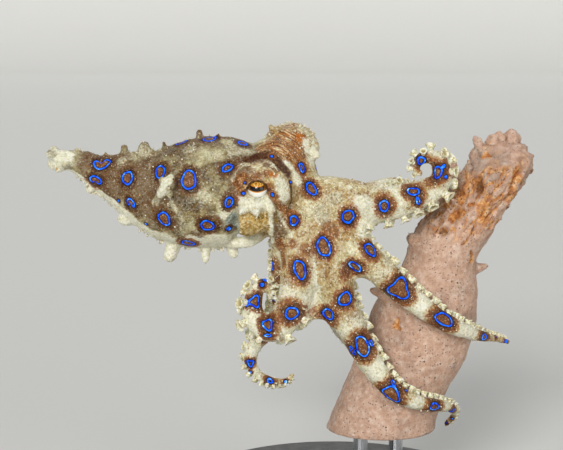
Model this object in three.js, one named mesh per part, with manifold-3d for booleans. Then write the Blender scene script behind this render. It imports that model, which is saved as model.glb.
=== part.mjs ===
// A life-size blue-ringed octopus that grips an upright branch of sponge, on a small display stand.
//
// Millimetres, +Z up. The origin is the middle of the underside of the stand's base. X runs along
// the body, from the point of the mantle at -X to the arms at +X, and -Y is the side of the right
// eye. The soft body is parted where a person would name its parts: mantle, head, eyes, funnel, the
// crown that the arms grow from, the web panels between them, and eight arms in three lengths each.
// Nothing moves: it is a still model.

import * as THREE from 'three';
import { mergeVertices } from 'three/addons/utils/BufferGeometryUtils.js';
import Module from 'manifold-3d';

const wasm = await Module();
wasm.setup();

// ---------------------------------------------------------------- driving dimensions

const GAP = 0.3; // left between pieces that meet

const EYE_RADIUS = 2.1;
const CROWN_CENTRE = new THREE.Vector3(-5.5, -6.5, 63.5);
const CROWN_RADII = new THREE.Vector3(6.5, 4.6, 6.5);
const CROWN_REACH = 12; // how far along each arm the crown's stub goes
const WEB_THICKNESS = 1.1;
const WEB_START = 0.35; // where a panel of web begins along its arms, as a share of CROWN_REACH
const WEB_NOTCH = 0.3; // how much the web's free edge is drawn in between two arms
// How far along its two arms each panel of web is joined to them.
const WEB_REACH = {
  left_1_right_1: 17,
  right_1_right_2: 19.8,
  right_2_right_3: 27.5,
  right_3_right_4: 20,
  right_4_left_4: 19,
  left_4_left_3: 20,
  left_3_left_2: 20,
  left_2_left_1: 19,
};
const ARM_TIP_RADIUS = 0.55;
const ARM_TAPER = 0.8; // under 1, so that an arm thins most near the crown; some arms have their own
const ARM_CUTS = [0.52, 0.76]; // where an arm is parted, as shares of its length

// Each arm's line, from inside the crown to its tip, and its radius at the crown. Arms are counted
// from the back of the head down each side, and this is their order round the crown.
const ARMS = {
  left_1: {
    radius: 4.5,
    taper: 1.5,
    route: [
      [-5, -6, 68], [-1.5, -7.2, 68.4], [2, -7.6, 68], [6.5, -7, 67], [10, -6, 67], [14, -5, 68],
      [17.5, -4.2, 69.2], [20, -3.4, 70.6], [20.8, -3.2, 73], [19.9, -3.4, 75.5],
      [17.7, -3.8, 76.4], [15.7, -4.2, 75.4], [15.3, -4.6, 73.6], [16.6, -5, 72.8],
    ],
  },
  right_1: {
    radius: 4.6,
    route: [
      [-4.5, -8, 65], [0, -9.5, 61], [4.5, -10, 57], [8.5, -9.5, 53.5], [12, -8.5, 50],
      [16.5, -8.2, 46.5], [21, -7.6, 43.3], [25.4, -5.6, 41], [29.2, -1.5, 39], [32.8, 2.6, 37.6],
      [36.5, 6, 36],
    ],
  },
  right_2: {
    radius: 4.8,
    route: [
      [-5, -8, 63.5], [-3, -9.5, 58], [-0.9, -10, 51], [1.5, -9.5, 44.5], [4.4, -8.7, 38.4],
      [7.5, -8.4, 33.2], [11, -8, 29], [15.5, -6.6, 26.4], [20, -3.4, 24.8], [23.8, 1.4, 23],
      [25, 5.4, 20.4], [23.6, 8, 17.4],
    ],
  },
  right_3: {
    radius: 4,
    taper: 2,
    route: [
      [-7, -8, 63], [-7.8, -9.8, 59], [-8.2, -10.8, 53.5], [-9.4, -10.9, 47.6], [-11.4, -10.8, 43.9],
      [-14.3, -10.4, 42.4], [-16.7, -9.9, 43.8], [-17.6, -9.5, 46.6], [-17, -9.2, 49.4],
      [-15.6, -9, 51.1], [-14.3, -8.9, 50.7], [-13.9, -8.8, 49.2], [-14.2, -8.7, 47.8],
    ],
  },
  right_4: {
    radius: 2.3,
    taper: 2,
    route: [
      [-8, -7, 64.5], [-11, -8.8, 62], [-11.6, -7.2, 57], [-11.6, -4.6, 50.5], [-12, -2.8, 45],
      [-13.8, -1.4, 40.6], [-16.8, -0.4, 37.2], [-18.3, 0.2, 33.8], [-17, 0.8, 30.6],
      [-14.2, 1.4, 28.8], [-11.2, 1.8, 28.5], [-9, 2.2, 30],
    ],
  },
  left_4: {
    radius: 3.4,
    route: [
      [-5.5, -4, 62], [-4.5, 0, 55.5], [-2.5, 4, 47.5], [0, 9, 40], [4, 15, 33.6],
      [10, 19, 29], [16.4, 20, 26], [21.4, 18.6, 24.4], [24.4, 15.4, 24],
    ],
  },
  left_3: {
    radius: 3.6,
    route: [
      [-4.5, -4, 63.5], [-0.5, 0.8, 60], [3.5, 6, 56], [8, 11.6, 51.5], [14, 16, 46.8],
      [20, 17.6, 43.6], [25.2, 16, 41.6], [28.4, 12.4, 41],
    ],
  },
  left_2: {
    radius: 3.6,
    route: [
      [-4.5, -4, 65], [-1, -0.6, 66], [3.5, 2.2, 67], [8.5, 4.8, 68.4], [12.5, 8.2, 68.8],
      [16.2, 12.4, 67], [20.2, 15.4, 63.6], [25, 16, 60.4], [29.6, 13.6, 58.4], [31.8, 10.4, 57.6],
    ],
  },
};

// The mantle's middle line from its point to its mouth, as [x, z, radius up and down].
const MANTLE_Y = -7;
const MANTLE_DEPTH = 0.86; // its half thickness from side to side, as a share of that radius
const MANTLE = [
  [-57.6, 76.4, 1.6], [-55.6, 76, 2.1], [-53.5, 75.8, 2.1], [-51, 75, 2.7], [-48, 73.6, 3.6],
  [-43.5, 72, 5.7], [-38, 70, 8.2], [-32.5, 69.2, 10.3], [-27, 69.4, 11.1], [-22.5, 69.6, 11],
  [-19.4, 69.2, 9.9], [-16.8, 68, 7.7], [-14.2, 66.6, 5.2],
];

const BLUNT_END = { from: 0.95, share: 0.6 }; // the last of a spike or horn is rounded off to this share
// Soft spikes on the mantle, as [root, tip, radius at the root, radius at the tip].
const MANTLE_PAPILLAE = [
  [[-50.2, -7, 73], [-50, -7, 69], 1, 1.1],
  [[-46, -7, 69], [-46.4, -7, 67.4], 0.6, 0.5],
  [[-41.2, -8, 67], [-43.6, -8, 62.9], 2.2, 1.7],
  [[-38.2, -8, 63.8], [-39.4, -8, 61.4], 0.9, 0.8],
  [[-32.8, -8, 61], [-34.4, -8, 55.4], 2.1, 1.5],
  [[-26.8, -8, 60], [-27, -8, 55], 1.4, 0.9],
  [[-22.4, -8, 60.8], [-20.9, -8, 56.2], 1.7, 1.1],
  [[-42.8, -7, 76.2], [-43.1, -7, 79.2], 0.9, 0.8],
  [[-39.4, -8.2, 75], [-38.6, -8.6, 79.9], 2.9, 1],
  [[-38, -8.4, 75.4], [-37.2, -8.6, 78.4], 1.8, 0.8],
  [[-28.2, -5, 79], [-28.2, -5, 82], 0.8, 0.7],
  [[-34.6, -14.6, 71.5], [-32.4, -17.4, 74.2], 1.5, 0.9],
  [[-56.8, -7, 75.6], [-57.2, -7, 78.9], 1.6, 1],
  [[-56.8, -7, 76.6], [-57.8, -7, 74.2], 1.6, 0.8],
  [[-56.6, -7, 75.6], [-55.8, -7.6, 73.6], 1.2, 0.9],
  [[-34, 0, 72], [-32.4, 3, 75], 1.5, 0.9],
];

// The two eye bulbs stand out from the head, the right one low towards -Y and the left one on top.
const HEAD_CORE = { centre: [-12.8, -6, 72.2], radii: [8.4, 6.4, 8.2] };
const RIGHT_BULB = new THREE.Vector3(-15, -11.4, 70.8);
const LEFT_BULB = new THREE.Vector3(-9.9, -3, 77.9);
const BULB_RADIUS = 5.2;
const BULB_LENGTH = 1.12; // its radius along X, as a share of that
const RIGHT_EYE = new THREE.Vector3(-16.3, -14.7, 71);
const LEFT_EYE = new THREE.Vector3(-10.3, -0.4, 80.3);

const FUNNEL = {
  radius: 2.7,
  lip: 2,
  bore: 1.3,
  boreDepth: 2,
  route: [[-12.4, -9.8, 66], [-15, -13.4, 65.2], [-17.8, -15.2, 64.6], [-20.6, -15.7, 64.3]],
};

// The sponge's middle line from its cut end up, as [x, y, z, radius].
const SPONGE_DEPTH = 0.92;
const SPONGE = [
  [9.4, 6, 17.5, 11.6], [10.4, 6, 21, 11.3], [12.2, 6, 25.6, 11], [14.6, 6, 30.5, 11.4],
  [16.6, 6, 36, 11.8], [18.2, 5.6, 42, 11.2], [19.6, 5.2, 47.5, 9.8], [21.4, 5.2, 53.2, 7.6],
  [23.8, 5.4, 59, 8], [27.4, 6, 64.5, 7.4], [30.9, 6, 69, 7.1], [33.4, 6, 73, 6.7],
  [34, 6, 76, 6], [34.2, 6, 77.6, 4.4],
];
// Spikes and torn lobes of the sponge, as [root, tip, radius at the root, radius at the tip].
const SPONGE_HORNS = [
  [[10.5, 1, 46.6], [6.4, 0, 48.6], 2, 0.4],
  [[16.5, 1.6, 50.6], [11.6, 0.6, 52.6], 1.8, 0.4],
  [[16.8, 4, 57.6], [14.6, 3, 59.2], 2.4, 1],
  [[21.4, 4, 58], [19.2, 3.2, 62], 4.4, 2.8],
  [[27, 6, 51.4], [31.8, 5.4, 52.6], 2.4, 0.5],
  [[24.4, 2, 64], [22.3, -0.6, 68.6], 2.2, 0.5],
  [[27.2, 3, 66], [26.7, 2, 74.8], 3.4, 0.55],
  [[30.6, 5, 73], [28.3, 4.6, 79.2], 3.2, 1],
  [[33.2, 5.2, 74], [32.6, 5, 81], 2.8, 1.7],
  [[35.6, 6, 74], [36.2, 6, 81], 2.8, 1.7],
  [[33, 8, 73], [33.4, 8.8, 77.6], 2.6, 1.5],
  [[36.4, 6, 71.4], [39.4, 6, 77.8], 2.8, 1.8],
  [[24.6, 10, 68], [22.9, 12, 75.6], 2.6, 1.6],
];

const BASE = { radius: 32, thickness: 7, chamfer: 0.8, sides: 44 };
const RODS = { radius: 1.5, top: SPONGE[0][2] - GAP, front: [5, 2.4], back: [13, 9.6] };

// ---------------------------------------------------------------- materials

const skin = (color) => new THREE.MeshStandardMaterial({ color, roughness: 0.55, metalness: 0 });
const MATERIALS = {
  mantle: skin(0xb9a184),
  head: skin(0xa98662),
  funnel: skin(0xc79a55),
  crown: skin(0xc9b08a),
  web: skin(0xd6c7a4),
  arm: skin(0xd8c9a6),
  eye: new THREE.MeshStandardMaterial({ color: 0xd8a146, roughness: 0.2, metalness: 0 }),
  sponge: new THREE.MeshStandardMaterial({ color: 0xd9a58f, roughness: 0.85, metalness: 0 }),
  base: new THREE.MeshStandardMaterial({ color: 0x17181a, roughness: 0.4, metalness: 0 }),
  rod: new THREE.MeshStandardMaterial({ color: 0xb8bbbe, roughness: 0.35, metalness: 1 }),
};

// ---------------------------------------------------------------- shapes

const vector = (point) => new THREE.Vector3(...point);
const lineThrough = (points) => new THREE.CatmullRomCurve3(points.map(vector), false, 'catmullrom', 0.5);

// A closed three.js geometry as a solid that can be joined and cut.
function solidFrom(geometry) {
  const bare = geometry.clone();
  bare.deleteAttribute('normal');
  bare.deleteAttribute('uv');
  const merged = mergeVertices(bare, 1e-4);
  return new wasm.Manifold(new wasm.Mesh({
    numProp: 3,
    vertProperties: new Float32Array(merged.attributes.position.array),
    triVerts: new Uint32Array(merged.index.array),
  }));
}

// Moves every vertex of a geometry to where place(vertex) puts it.
function shaped(geometry, place) {
  const positions = geometry.attributes.position;
  const vertex = new THREE.Vector3();
  for (let i = 0; i < positions.count; i += 1) {
    vertex.fromBufferAttribute(positions, i);
    positions.setXYZ(i, ...place(vertex).toArray());
  }
  return geometry;
}

// A limb of round section along a curve, between two shares of its length. radiusAt(share) is its
// radius there, and extra makes the whole of it that much fatter, for cutting a neighbour.
function limb(curve, radiusAt, { from = 0, to = 1, sides = 8, steps = 7, extra = 0 } = {}) {
  const divisions = 96;
  const frames = curve.computeFrenetFrames(divisions);
  const geometry = new THREE.CylinderGeometry(1, 1, 1, sides, steps);
  return solidFrom(shaped(geometry, (v) => {
    const share = from + (to - from) * (v.y + 0.5);
    const at = Math.round(share * divisions);
    const across = frames.normals[at];
    const along = frames.tangents[at];
    const up = new THREE.Vector3().crossVectors(across, along);
    const radius = radiusAt(share) + extra;
    return curve.getPointAt(share).addScaledVector(across, v.x * radius).addScaledVector(up, v.z * radius);
  }));
}

function ball(centre, radii, { across = 12, down = 8, extra = 0 } = {}) {
  const geometry = new THREE.SphereGeometry(1, across, down);
  geometry.scale(radii.x + extra, radii.y + extra, radii.z + extra);
  geometry.translate(centre.x, centre.y, centre.z);
  return solidFrom(geometry);
}

// A body of round sections stacked along a middle line, one ring of vertices for each step. The
// stations are [x, y, z, radius], and depth squeezes the sections along Y.
function stacked(stations, depth, { sides, steps, extra = 0, level = false }) {
  const line = lineThrough(stations.map(([x, y, z]) => [x, y, z]));
  const radii = lineThrough(stations.map(([, , , radius]) => [radius, 0, 0]));
  const geometry = new THREE.CylinderGeometry(1, 1, 1, sides, steps);
  const depthAxis = new THREE.Vector3(0, 1, 0);
  return solidFrom(shaped(geometry, (v) => {
    const share = v.y + 0.5;
    const along = level ? new THREE.Vector3(0, 0, 1) : line.getTangent(share).setY(0).normalize();
    const across = new THREE.Vector3().crossVectors(along, depthAxis);
    const radius = radii.getPoint(share).x + extra;
    return line.getPoint(share)
      .addScaledVector(across, v.x * radius)
      .addScaledVector(depthAxis, v.z * (radius * depth));
  }));
}

// A blunt spike from root to tip, a little waisted, as skin flaps and sponge horns are.
function horn([root, tip, rootRadius, tipRadius], { sides = 5, extra = 0 } = {}) {
  const curve = new THREE.LineCurve3(vector(root), vector(tip));
  const radiusAt = (share) => THREE.MathUtils.lerp(rootRadius, tipRadius, Math.sqrt(share))
    * (share > BLUNT_END.from ? BLUNT_END.share : 1);
  return limb(curve, radiusAt, { sides, steps: 3, extra });
}

const joined = (solids) => solids.reduce((whole, solid) => whole.add(solid));
const cutBy = (solid, cutters) => cutters.reduce((rest, cutter) => rest.subtract(cutter), solid);

// The largest body of a solid: cutting a thin panel can leave crumbs beside it.
function largest(solid) {
  return solid.decompose().reduce((best, body) => (body.volume() > best.volume() ? body : best));
}

// ---------------------------------------------------------------- arms

for (const arm of Object.values(ARMS)) {
  arm.curve = lineThrough(arm.route);
  arm.length = arm.curve.getLength();
  const taper = arm.taper ?? ARM_TAPER;
  arm.radiusAt = (share) => THREE.MathUtils.lerp(arm.radius, ARM_TIP_RADIUS, share ** taper);
  arm.stub = CROWN_REACH / arm.length;
  arm.cuts = [arm.stub, ...ARM_CUTS, 1];
}

// One of the three lengths of an arm, clear of the next one by the gap.
function armLength(arm, index, { clearance = GAP / 2, extra = 0 } = {}) {
  const from = arm.cuts[index] + clearance / arm.length;
  const to = arm.cuts[index + 1] - (index === 2 ? 0 : clearance / arm.length);
  return limb(arm.curve, arm.radiusAt, { from, to, steps: 6, extra });
}

// The whole free arm, fatter by the gap, for cutting the web and the sponge.
function armWithGap(arm) {
  return joined([0, 1, 2].map((index) => armLength(arm, index, { clearance: 0, extra: GAP })));
}

// ---------------------------------------------------------------- crown and web

function crown(extra = 0) {
  const middle = ball(CROWN_CENTRE, CROWN_RADII, { extra });
  const stubs = Object.values(ARMS).map((arm) => limb(arm.curve, arm.radiusAt, {
    to: arm.stub - (GAP / 2 - extra) / arm.length, steps: 4, extra,
  }));
  return joined([middle, ...stubs]);
}

// A panel of web between two neighbouring arms: its two sides run inside the arms, and its free
// edge is drawn in towards the crown between them.
function webPanel(first, second, webReach) {
  const near = CROWN_REACH * WEB_START;
  const surface = (u, v) => {
    const drawnIn = 1 - WEB_NOTCH * Math.sin(Math.PI * u);
    const reach = near + (webReach - near) * v * drawnIn;
    return first.curve.getPointAt(reach / first.length)
      .lerp(second.curve.getPointAt(reach / second.length), u);
  };
  const step = 0.02;
  const geometry = new THREE.BoxGeometry(1, 1, 1, 4, 4, 1);
  return solidFrom(shaped(geometry, ({ x, y, z }) => {
    const [u, v] = [x + 0.5, y + 0.5];
    const point = surface(u, v);
    const alongU = surface(Math.min(u + step, 1), v).sub(surface(Math.max(u - step, 0), v));
    const alongV = surface(u, Math.min(v + step, 1)).sub(surface(u, Math.max(v - step, 0)));
    return point.addScaledVector(alongU.cross(alongV).normalize(), z * WEB_THICKNESS);
  }));
}

// ---------------------------------------------------------------- body

function head(extra = 0) {
  const bulbRadii = new THREE.Vector3(BULB_RADIUS * BULB_LENGTH, BULB_RADIUS, BULB_RADIUS);
  return joined([
    ball(vector(HEAD_CORE.centre), vector(HEAD_CORE.radii), { extra }),
    ball(RIGHT_BULB, bulbRadii, { extra }),
    ball(LEFT_BULB, bulbRadii, { extra }),
  ]);
}

function mantle(extra = 0) {
  const stations = MANTLE.map(([x, z, radius]) => [x, MANTLE_Y, z, radius]);
  const body = stacked(stations, MANTLE_DEPTH, { sides: 16, steps: 16, extra });
  return joined([body, ...MANTLE_PAPILLAE.map((papilla) => horn(papilla, { extra }))]);
}

function funnel() {
  const curve = lineThrough(FUNNEL.route);
  const tube = limb(curve, (share) => THREE.MathUtils.lerp(FUNNEL.radius, FUNNEL.lip, share), {
    sides: 10, steps: 4,
  });
  const mouth = curve.getPointAt(1);
  const inward = curve.getTangentAt(1).negate();
  const bore = new THREE.LineCurve3(
    mouth.clone().addScaledVector(inward, -1),
    mouth.clone().addScaledVector(inward, FUNNEL.boreDepth),
  );
  return tube.subtract(limb(bore, () => FUNNEL.bore, { sides: 10, steps: 1 }));
}

// ---------------------------------------------------------------- perch and stand

function sponge() {
  const body = stacked(SPONGE, SPONGE_DEPTH, { sides: 16, steps: 16, level: true });
  return joined([body, ...SPONGE_HORNS.map((spike) => horn(spike))]);
}

function standBase() {
  const { radius, thickness, chamfer, sides } = BASE;
  const profile = [
    [0, 0], [radius, 0], [radius, thickness - chamfer], [radius - chamfer, thickness], [0, thickness],
  ];
  const geometry = new THREE.LatheGeometry(profile.map(([x, y]) => new THREE.Vector2(x, y)), sides);
  return solidFrom(geometry.rotateX(Math.PI / 2));
}

function standRod([x, y]) {
  const bottom = BASE.thickness + GAP;
  const height = RODS.top - bottom;
  const geometry = new THREE.CylinderGeometry(RODS.radius, RODS.radius, height, 16);
  return solidFrom(geometry.rotateX(Math.PI / 2).translate(x, y, bottom + height / 2));
}

// ---------------------------------------------------------------- assembly

const model = new THREE.Group();

function addPiece(name, solid, material) {
  const { vertProperties, triVerts } = solid.getMesh();
  const geometry = new THREE.BufferGeometry();
  geometry.setAttribute('position', new THREE.BufferAttribute(new Float32Array(vertProperties), 3));
  geometry.setIndex(new THREE.BufferAttribute(new Uint32Array(triVerts), 1));
  geometry.computeVertexNormals();
  const mesh = new THREE.Mesh(geometry, material);
  mesh.name = name;
  model.add(mesh);
}

const eyes = { right: RIGHT_EYE, left: LEFT_EYE };
const eyeRadii = (radius) => new THREE.Vector3(radius, radius, radius);
const eyeSockets = Object.values(eyes).map((centre) => ball(centre, eyeRadii(EYE_RADIUS), { extra: GAP }));
for (const [side, centre] of Object.entries(eyes)) {
  addPiece(`eye_${side}`, ball(centre, eyeRadii(EYE_RADIUS)), MATERIALS.eye);
}

const headWithGap = head(GAP);
const mantleWithGap = mantle(GAP);
const crownWithGap = crown(GAP);
addPiece('head', cutBy(head(), eyeSockets), MATERIALS.head);
addPiece('mantle', largest(mantle().subtract(headWithGap)), MATERIALS.mantle);
addPiece('crown', largest(cutBy(crown(), [headWithGap, mantleWithGap])), MATERIALS.crown);
addPiece('funnel', largest(cutBy(funnel(), [headWithGap, mantleWithGap, crownWithGap])), MATERIALS.funnel);

const LENGTH_NAMES = ['base', 'middle', 'tip'];
for (const [name, arm] of Object.entries(ARMS)) {
  LENGTH_NAMES.forEach((part, index) => {
    addPiece(`arm_${name}_${part}`, armLength(arm, index), MATERIALS.arm);
  });
}

const armsWithGap = Object.values(ARMS).map(armWithGap);
const names = Object.keys(ARMS);
names.forEach((name, index) => {
  const next = names[(index + 1) % names.length];
  const panel = cutBy(webPanel(ARMS[name], ARMS[next], WEB_REACH[`${name}_${next}`]), [
    crownWithGap, headWithGap, mantleWithGap, ...armsWithGap,
  ]);
  addPiece(`web_${name}_${next}`, largest(panel), MATERIALS.web);
});

addPiece('perch_sponge', largest(cutBy(sponge(), armsWithGap)), MATERIALS.sponge);
addPiece('stand_base', standBase(), MATERIALS.base);
addPiece('stand_rod_front', standRod(RODS.front), MATERIALS.rod);
addPiece('stand_rod_back', standRod(RODS.back), MATERIALS.rod);

export default model;
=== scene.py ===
# %% [markdown]
# # A blue-ringed octopus on a branch of sponge
# The animal is soft all over, so one skin covers it from the point of the mantle to the arm tips.
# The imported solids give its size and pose. Here they are dressed: a skin with its rings, suckers,
# grains and papillae, two eyes, the sponge that it grips, and a small display stand.

# %% Load the frame
import math
import bpy
import bmesh
import numpy as np
from mathutils import Matrix, Vector, noise
from mathutils.bvhtree import BVHTree


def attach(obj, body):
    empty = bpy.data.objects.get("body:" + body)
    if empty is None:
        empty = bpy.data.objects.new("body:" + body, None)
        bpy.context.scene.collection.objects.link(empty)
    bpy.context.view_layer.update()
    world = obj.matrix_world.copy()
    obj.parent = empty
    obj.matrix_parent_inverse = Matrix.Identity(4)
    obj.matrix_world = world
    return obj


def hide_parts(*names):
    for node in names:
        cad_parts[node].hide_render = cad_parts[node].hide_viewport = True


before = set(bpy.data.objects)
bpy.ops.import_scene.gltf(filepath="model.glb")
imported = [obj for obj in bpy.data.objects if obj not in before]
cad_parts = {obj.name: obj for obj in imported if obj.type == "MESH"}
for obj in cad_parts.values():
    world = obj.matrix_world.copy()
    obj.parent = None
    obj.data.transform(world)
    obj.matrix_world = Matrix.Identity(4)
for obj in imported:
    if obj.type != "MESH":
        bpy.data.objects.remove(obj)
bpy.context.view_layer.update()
MM = 0.001

# %% [markdown]
# The camera comes first, so that every later step can be looked at. It stands level with a small
# animal on a table and looks a little down, through a long lens that keeps the shape true.

# %% Camera
LOOKS_AT = Vector((-11.7, -8.0, 63.0)) * MM
LOOKS_DOWN = math.radians(8)
STANDS_OFF = 300 * MM
SENSOR, LENS = 36, 95.9  # mm: from 300 mm off, the view is 112.6 mm wide


def put(name, data):
    """A new object in the scene."""
    thing = bpy.data.objects.new(name, data)
    bpy.context.collection.objects.link(thing)
    return thing


camera = put("camera", bpy.data.cameras.new("camera"))
view_line = Vector((0, math.cos(LOOKS_DOWN), -math.sin(LOOKS_DOWN)))
camera.location = LOOKS_AT - view_line * STANDS_OFF
camera.rotation_euler = view_line.to_track_quat("-Z", "Y").to_euler()
camera.data.sensor_width = SENSOR
camera.data.lens = LENS
camera.data.clip_start = 0.01
bpy.context.scene.camera = camera
print("camera height, in mm:", round(camera.location.z / MM, 1))

# %% [markdown]
# Colours are written as sRGB hex, as a paint chart gives them, and Blender mixes light in linear
# values, so one function turns them. Another adds a node with its settings and its links: a link
# is written as the node it comes from.

# %% Colour and node helpers
def linear(colour):
    """A hex colour as Blender's linear red, green, blue and alpha."""
    parts = [int(colour[i:i + 2], 16) / 255 for i in (1, 3, 5)]
    return [p / 12.92 if p <= 0.04045 else ((p + 0.055) / 1.055) ** 2.4 for p in parts] + [1.0]


def set_inputs(tree, node, inputs):
    """Sets inputs. Each is a value, a hex colour, a node (its first output) or (node, output)."""
    for name, value in inputs.items():
        if isinstance(value, bpy.types.Node):
            value = (value, 0)
        if isinstance(value, tuple) and isinstance(value[0], bpy.types.Node):
            tree.links.new(value[0].outputs[value[1]], node.inputs[name])
        else:
            is_colour = isinstance(value, str) and value[0] == "#"
            node.inputs[name].default_value = linear(value) if is_colour else value


def add_node(tree, kind, inputs=None, stops=None, **settings):
    """Adds a node with its inputs, the stops of its colour ramp and its other settings."""
    node = tree.nodes.new(kind)
    for name, value in settings.items():
        setattr(node, name, value)
    set_inputs(tree, node, inputs or {})
    if stops:
        ramp = node.color_ramp.elements
        while len(ramp) < len(stops):
            ramp.new(1.0)
        for stop, (place, colour) in zip(ramp, stops):
            stop.position = place
            stop.color = linear(colour)
    return node


for colour in ("#FFFFFF", "#808080"):
    print(colour, "is, in linear light:", [round(part, 3) for part in linear(colour)])

# %% [markdown]
# A finish has dozens of nodes, so they are written as tables. A row gives a node's name and its
# inputs, and a name that is already known stands for that node. Each finish starts with its
# surface shader, its coordinates in millimetres, so that each pattern has its real size, and the
# numbers kept on the piece that it reads.

# %% Tables of nodes
def add_rows(tree, known, rows, kind, sockets=range(5), output=0, setting=None, **settings):
    """Adds a node for each row: its name, its own setting if it has one, its inputs, and any stops."""
    for name, *row in rows:
        own = {setting: row.pop(0)} if setting else {}
        stops = row.pop() if row and isinstance(row[-1], list) else None
        inputs = {socket: known.get(value, value) for socket, value in zip(sockets, row)}
        known[name] = (add_node(tree, kind, inputs, stops, **own, **settings), output)


NOISE = {"kind": "ShaderNodeTexNoise", "sockets": ("Vector", "Scale", "Detail", "Roughness"), "output": "Fac"}
MATHS = {"kind": "ShaderNodeMath", "setting": "operation"}
STEP = {"kind": "ShaderNodeMapRange"}  # a value, from, to, and what it becomes at each
SOFT_STEP = {**STEP, "sockets": (0, 1, 2, 4), "interpolation_type": "SMOOTHSTEP"}  # 0 at the first
RAMP = {"kind": "ShaderNodeValToRGB"}
MIX = {"kind": "ShaderNodeMix", "sockets": (0, 6, 7), "output": 2, "data_type": "RGBA"}  # share, under, over
KEPT = {"kind": "ShaderNodeAttribute", "setting": "attribute_name", "output": "Fac"}


def start_material(name, kept=()):
    """A new node material, its shader, and its known values: millimetres, and the numbers kept."""
    material = bpy.data.materials.new(name)
    material.use_nodes = True
    tree = material.node_tree
    tree.nodes.clear()
    shader = add_node(tree, "ShaderNodeBsdfPrincipled")
    add_node(tree, "ShaderNodeOutputMaterial", {"Surface": shader})
    place = add_node(tree, "ShaderNodeTexCoord")
    in_mm = add_node(tree, "ShaderNodeVectorMath", {0: (place, "Object"), "Scale": 1 / MM}, operation="SCALE")
    known = {"mm": (in_mm, 0)}
    add_rows(tree, known, [(number, number) for number in kept], **KEPT)
    return material, tree, shader, known


def dress(piece, material):
    """Gives a piece one material."""
    piece.data.materials.clear()
    piece.data.materials.append(material)


print("written as rows:", [kind["kind"] for kind in (NOISE, MATHS, STEP, RAMP, MIX, KEPT)])

# %% [markdown]
# Soft bodies are lofted: a circle is set at each station along a line and each is bridged to the
# next. The lines are smooth curves through a few points in millimetres. An octopus arm is such a
# line with a radius that shrinks to the tip.

# %% Lines and lofts
def smooth(rows, steps=12):
    """Rows of numbers with a smooth curve run through them, so many steps for each gap."""
    rows = np.array(rows, float)
    rows = np.vstack([2 * rows[0] - rows[1], rows, 2 * rows[-1] - rows[-2]])
    t = np.arange(steps)[:, None] / steps
    spans = []
    for a, b, c, d in zip(rows, rows[1:], rows[2:], rows[3:]):
        leave, arrive = (c - a) / 2, (d - b) / 2
        spans.append(b + leave * t + (3 * (c - b) - 2 * leave - arrive) * t ** 2
                     + (2 * (b - c) + leave + arrive) * t ** 3)
    return np.vstack(spans + [rows[-2:-1]])


class Line:
    """A smooth line through points in millimetres, walked by share of its length."""

    def __init__(self, points):
        self.dots = smooth(points, 24) * MM
        steps = np.linalg.norm(np.diff(self.dots, axis=0), axis=1)
        self.walked = np.concatenate([[0], np.cumsum(steps)])
        self.length = self.walked[-1]

    def at(self, share):
        return Vector([np.interp(share * self.length, self.walked, column) for column in self.dots.T])

    def along(self, share):
        return (self.at(min(share + 0.01, 1)) - self.at(max(share - 0.01, 0))).normalized()

    def side(self, share, degrees):
        """A unit vector square to the line: 0 is the right side of the animal, 90 the left of its way."""
        along = self.along(share)
        right = Vector((0, -1, 0))
        right = (right - along * right.dot(along)).normalized()
        turn = math.radians(degrees)
        return right * math.cos(turn) + right.cross(along) * math.sin(turn)


def station(centre, across, deep, along):
    """The matrix that sets a unit circle at centre, with across and deep as its two radii."""
    place = Matrix((across, deep, along)).transposed().to_4x4()
    place.translation = centre
    return place


def oval(centre, across, deep):
    """The matrix that sets a unit circle level at centre, with across and deep as its two radii."""
    return Matrix.Translation(centre) @ Matrix.Diagonal((across, deep, 1, 1))


def loft(bm, stations, sides=28):
    """Bridges a circle at each station to the next, and closes both ends."""
    rims = []
    for i, place in enumerate(stations):
        closed = i in (0, len(stations) - 1)
        ring = bmesh.ops.create_circle(bm, cap_ends=closed, segments=sides, radius=1, matrix=place)["verts"]
        rims.append({edge for vert in ring for edge in vert.link_edges})
    for one, other in zip(rims, rims[1:]):
        bmesh.ops.bridge_loops(bm, edges=list(one | other))


def limb(bm, line, radius_at, start=0.0, end=1.0, steps=24, sides=20):
    """A round limb along a line. radius_at(share) gives its radius in millimetres."""
    places = []
    for i in range(steps + 1):
        share = start + (end - start) * i / steps
        radius = radius_at(share) * MM
        places.append(station(line.at(share), line.side(share, 0) * radius,
                              line.side(share, 90) * radius, line.along(share)))
    loft(bm, places, sides)


# %% [markdown]
# The eight arms, named from the back of the head down each side, in their order round the crown.
# Each has its radius at the crown in millimetres and its way, which is the pose of the animal:
# four arms hang or curl on its right side and four reach round behind the sponge.

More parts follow.
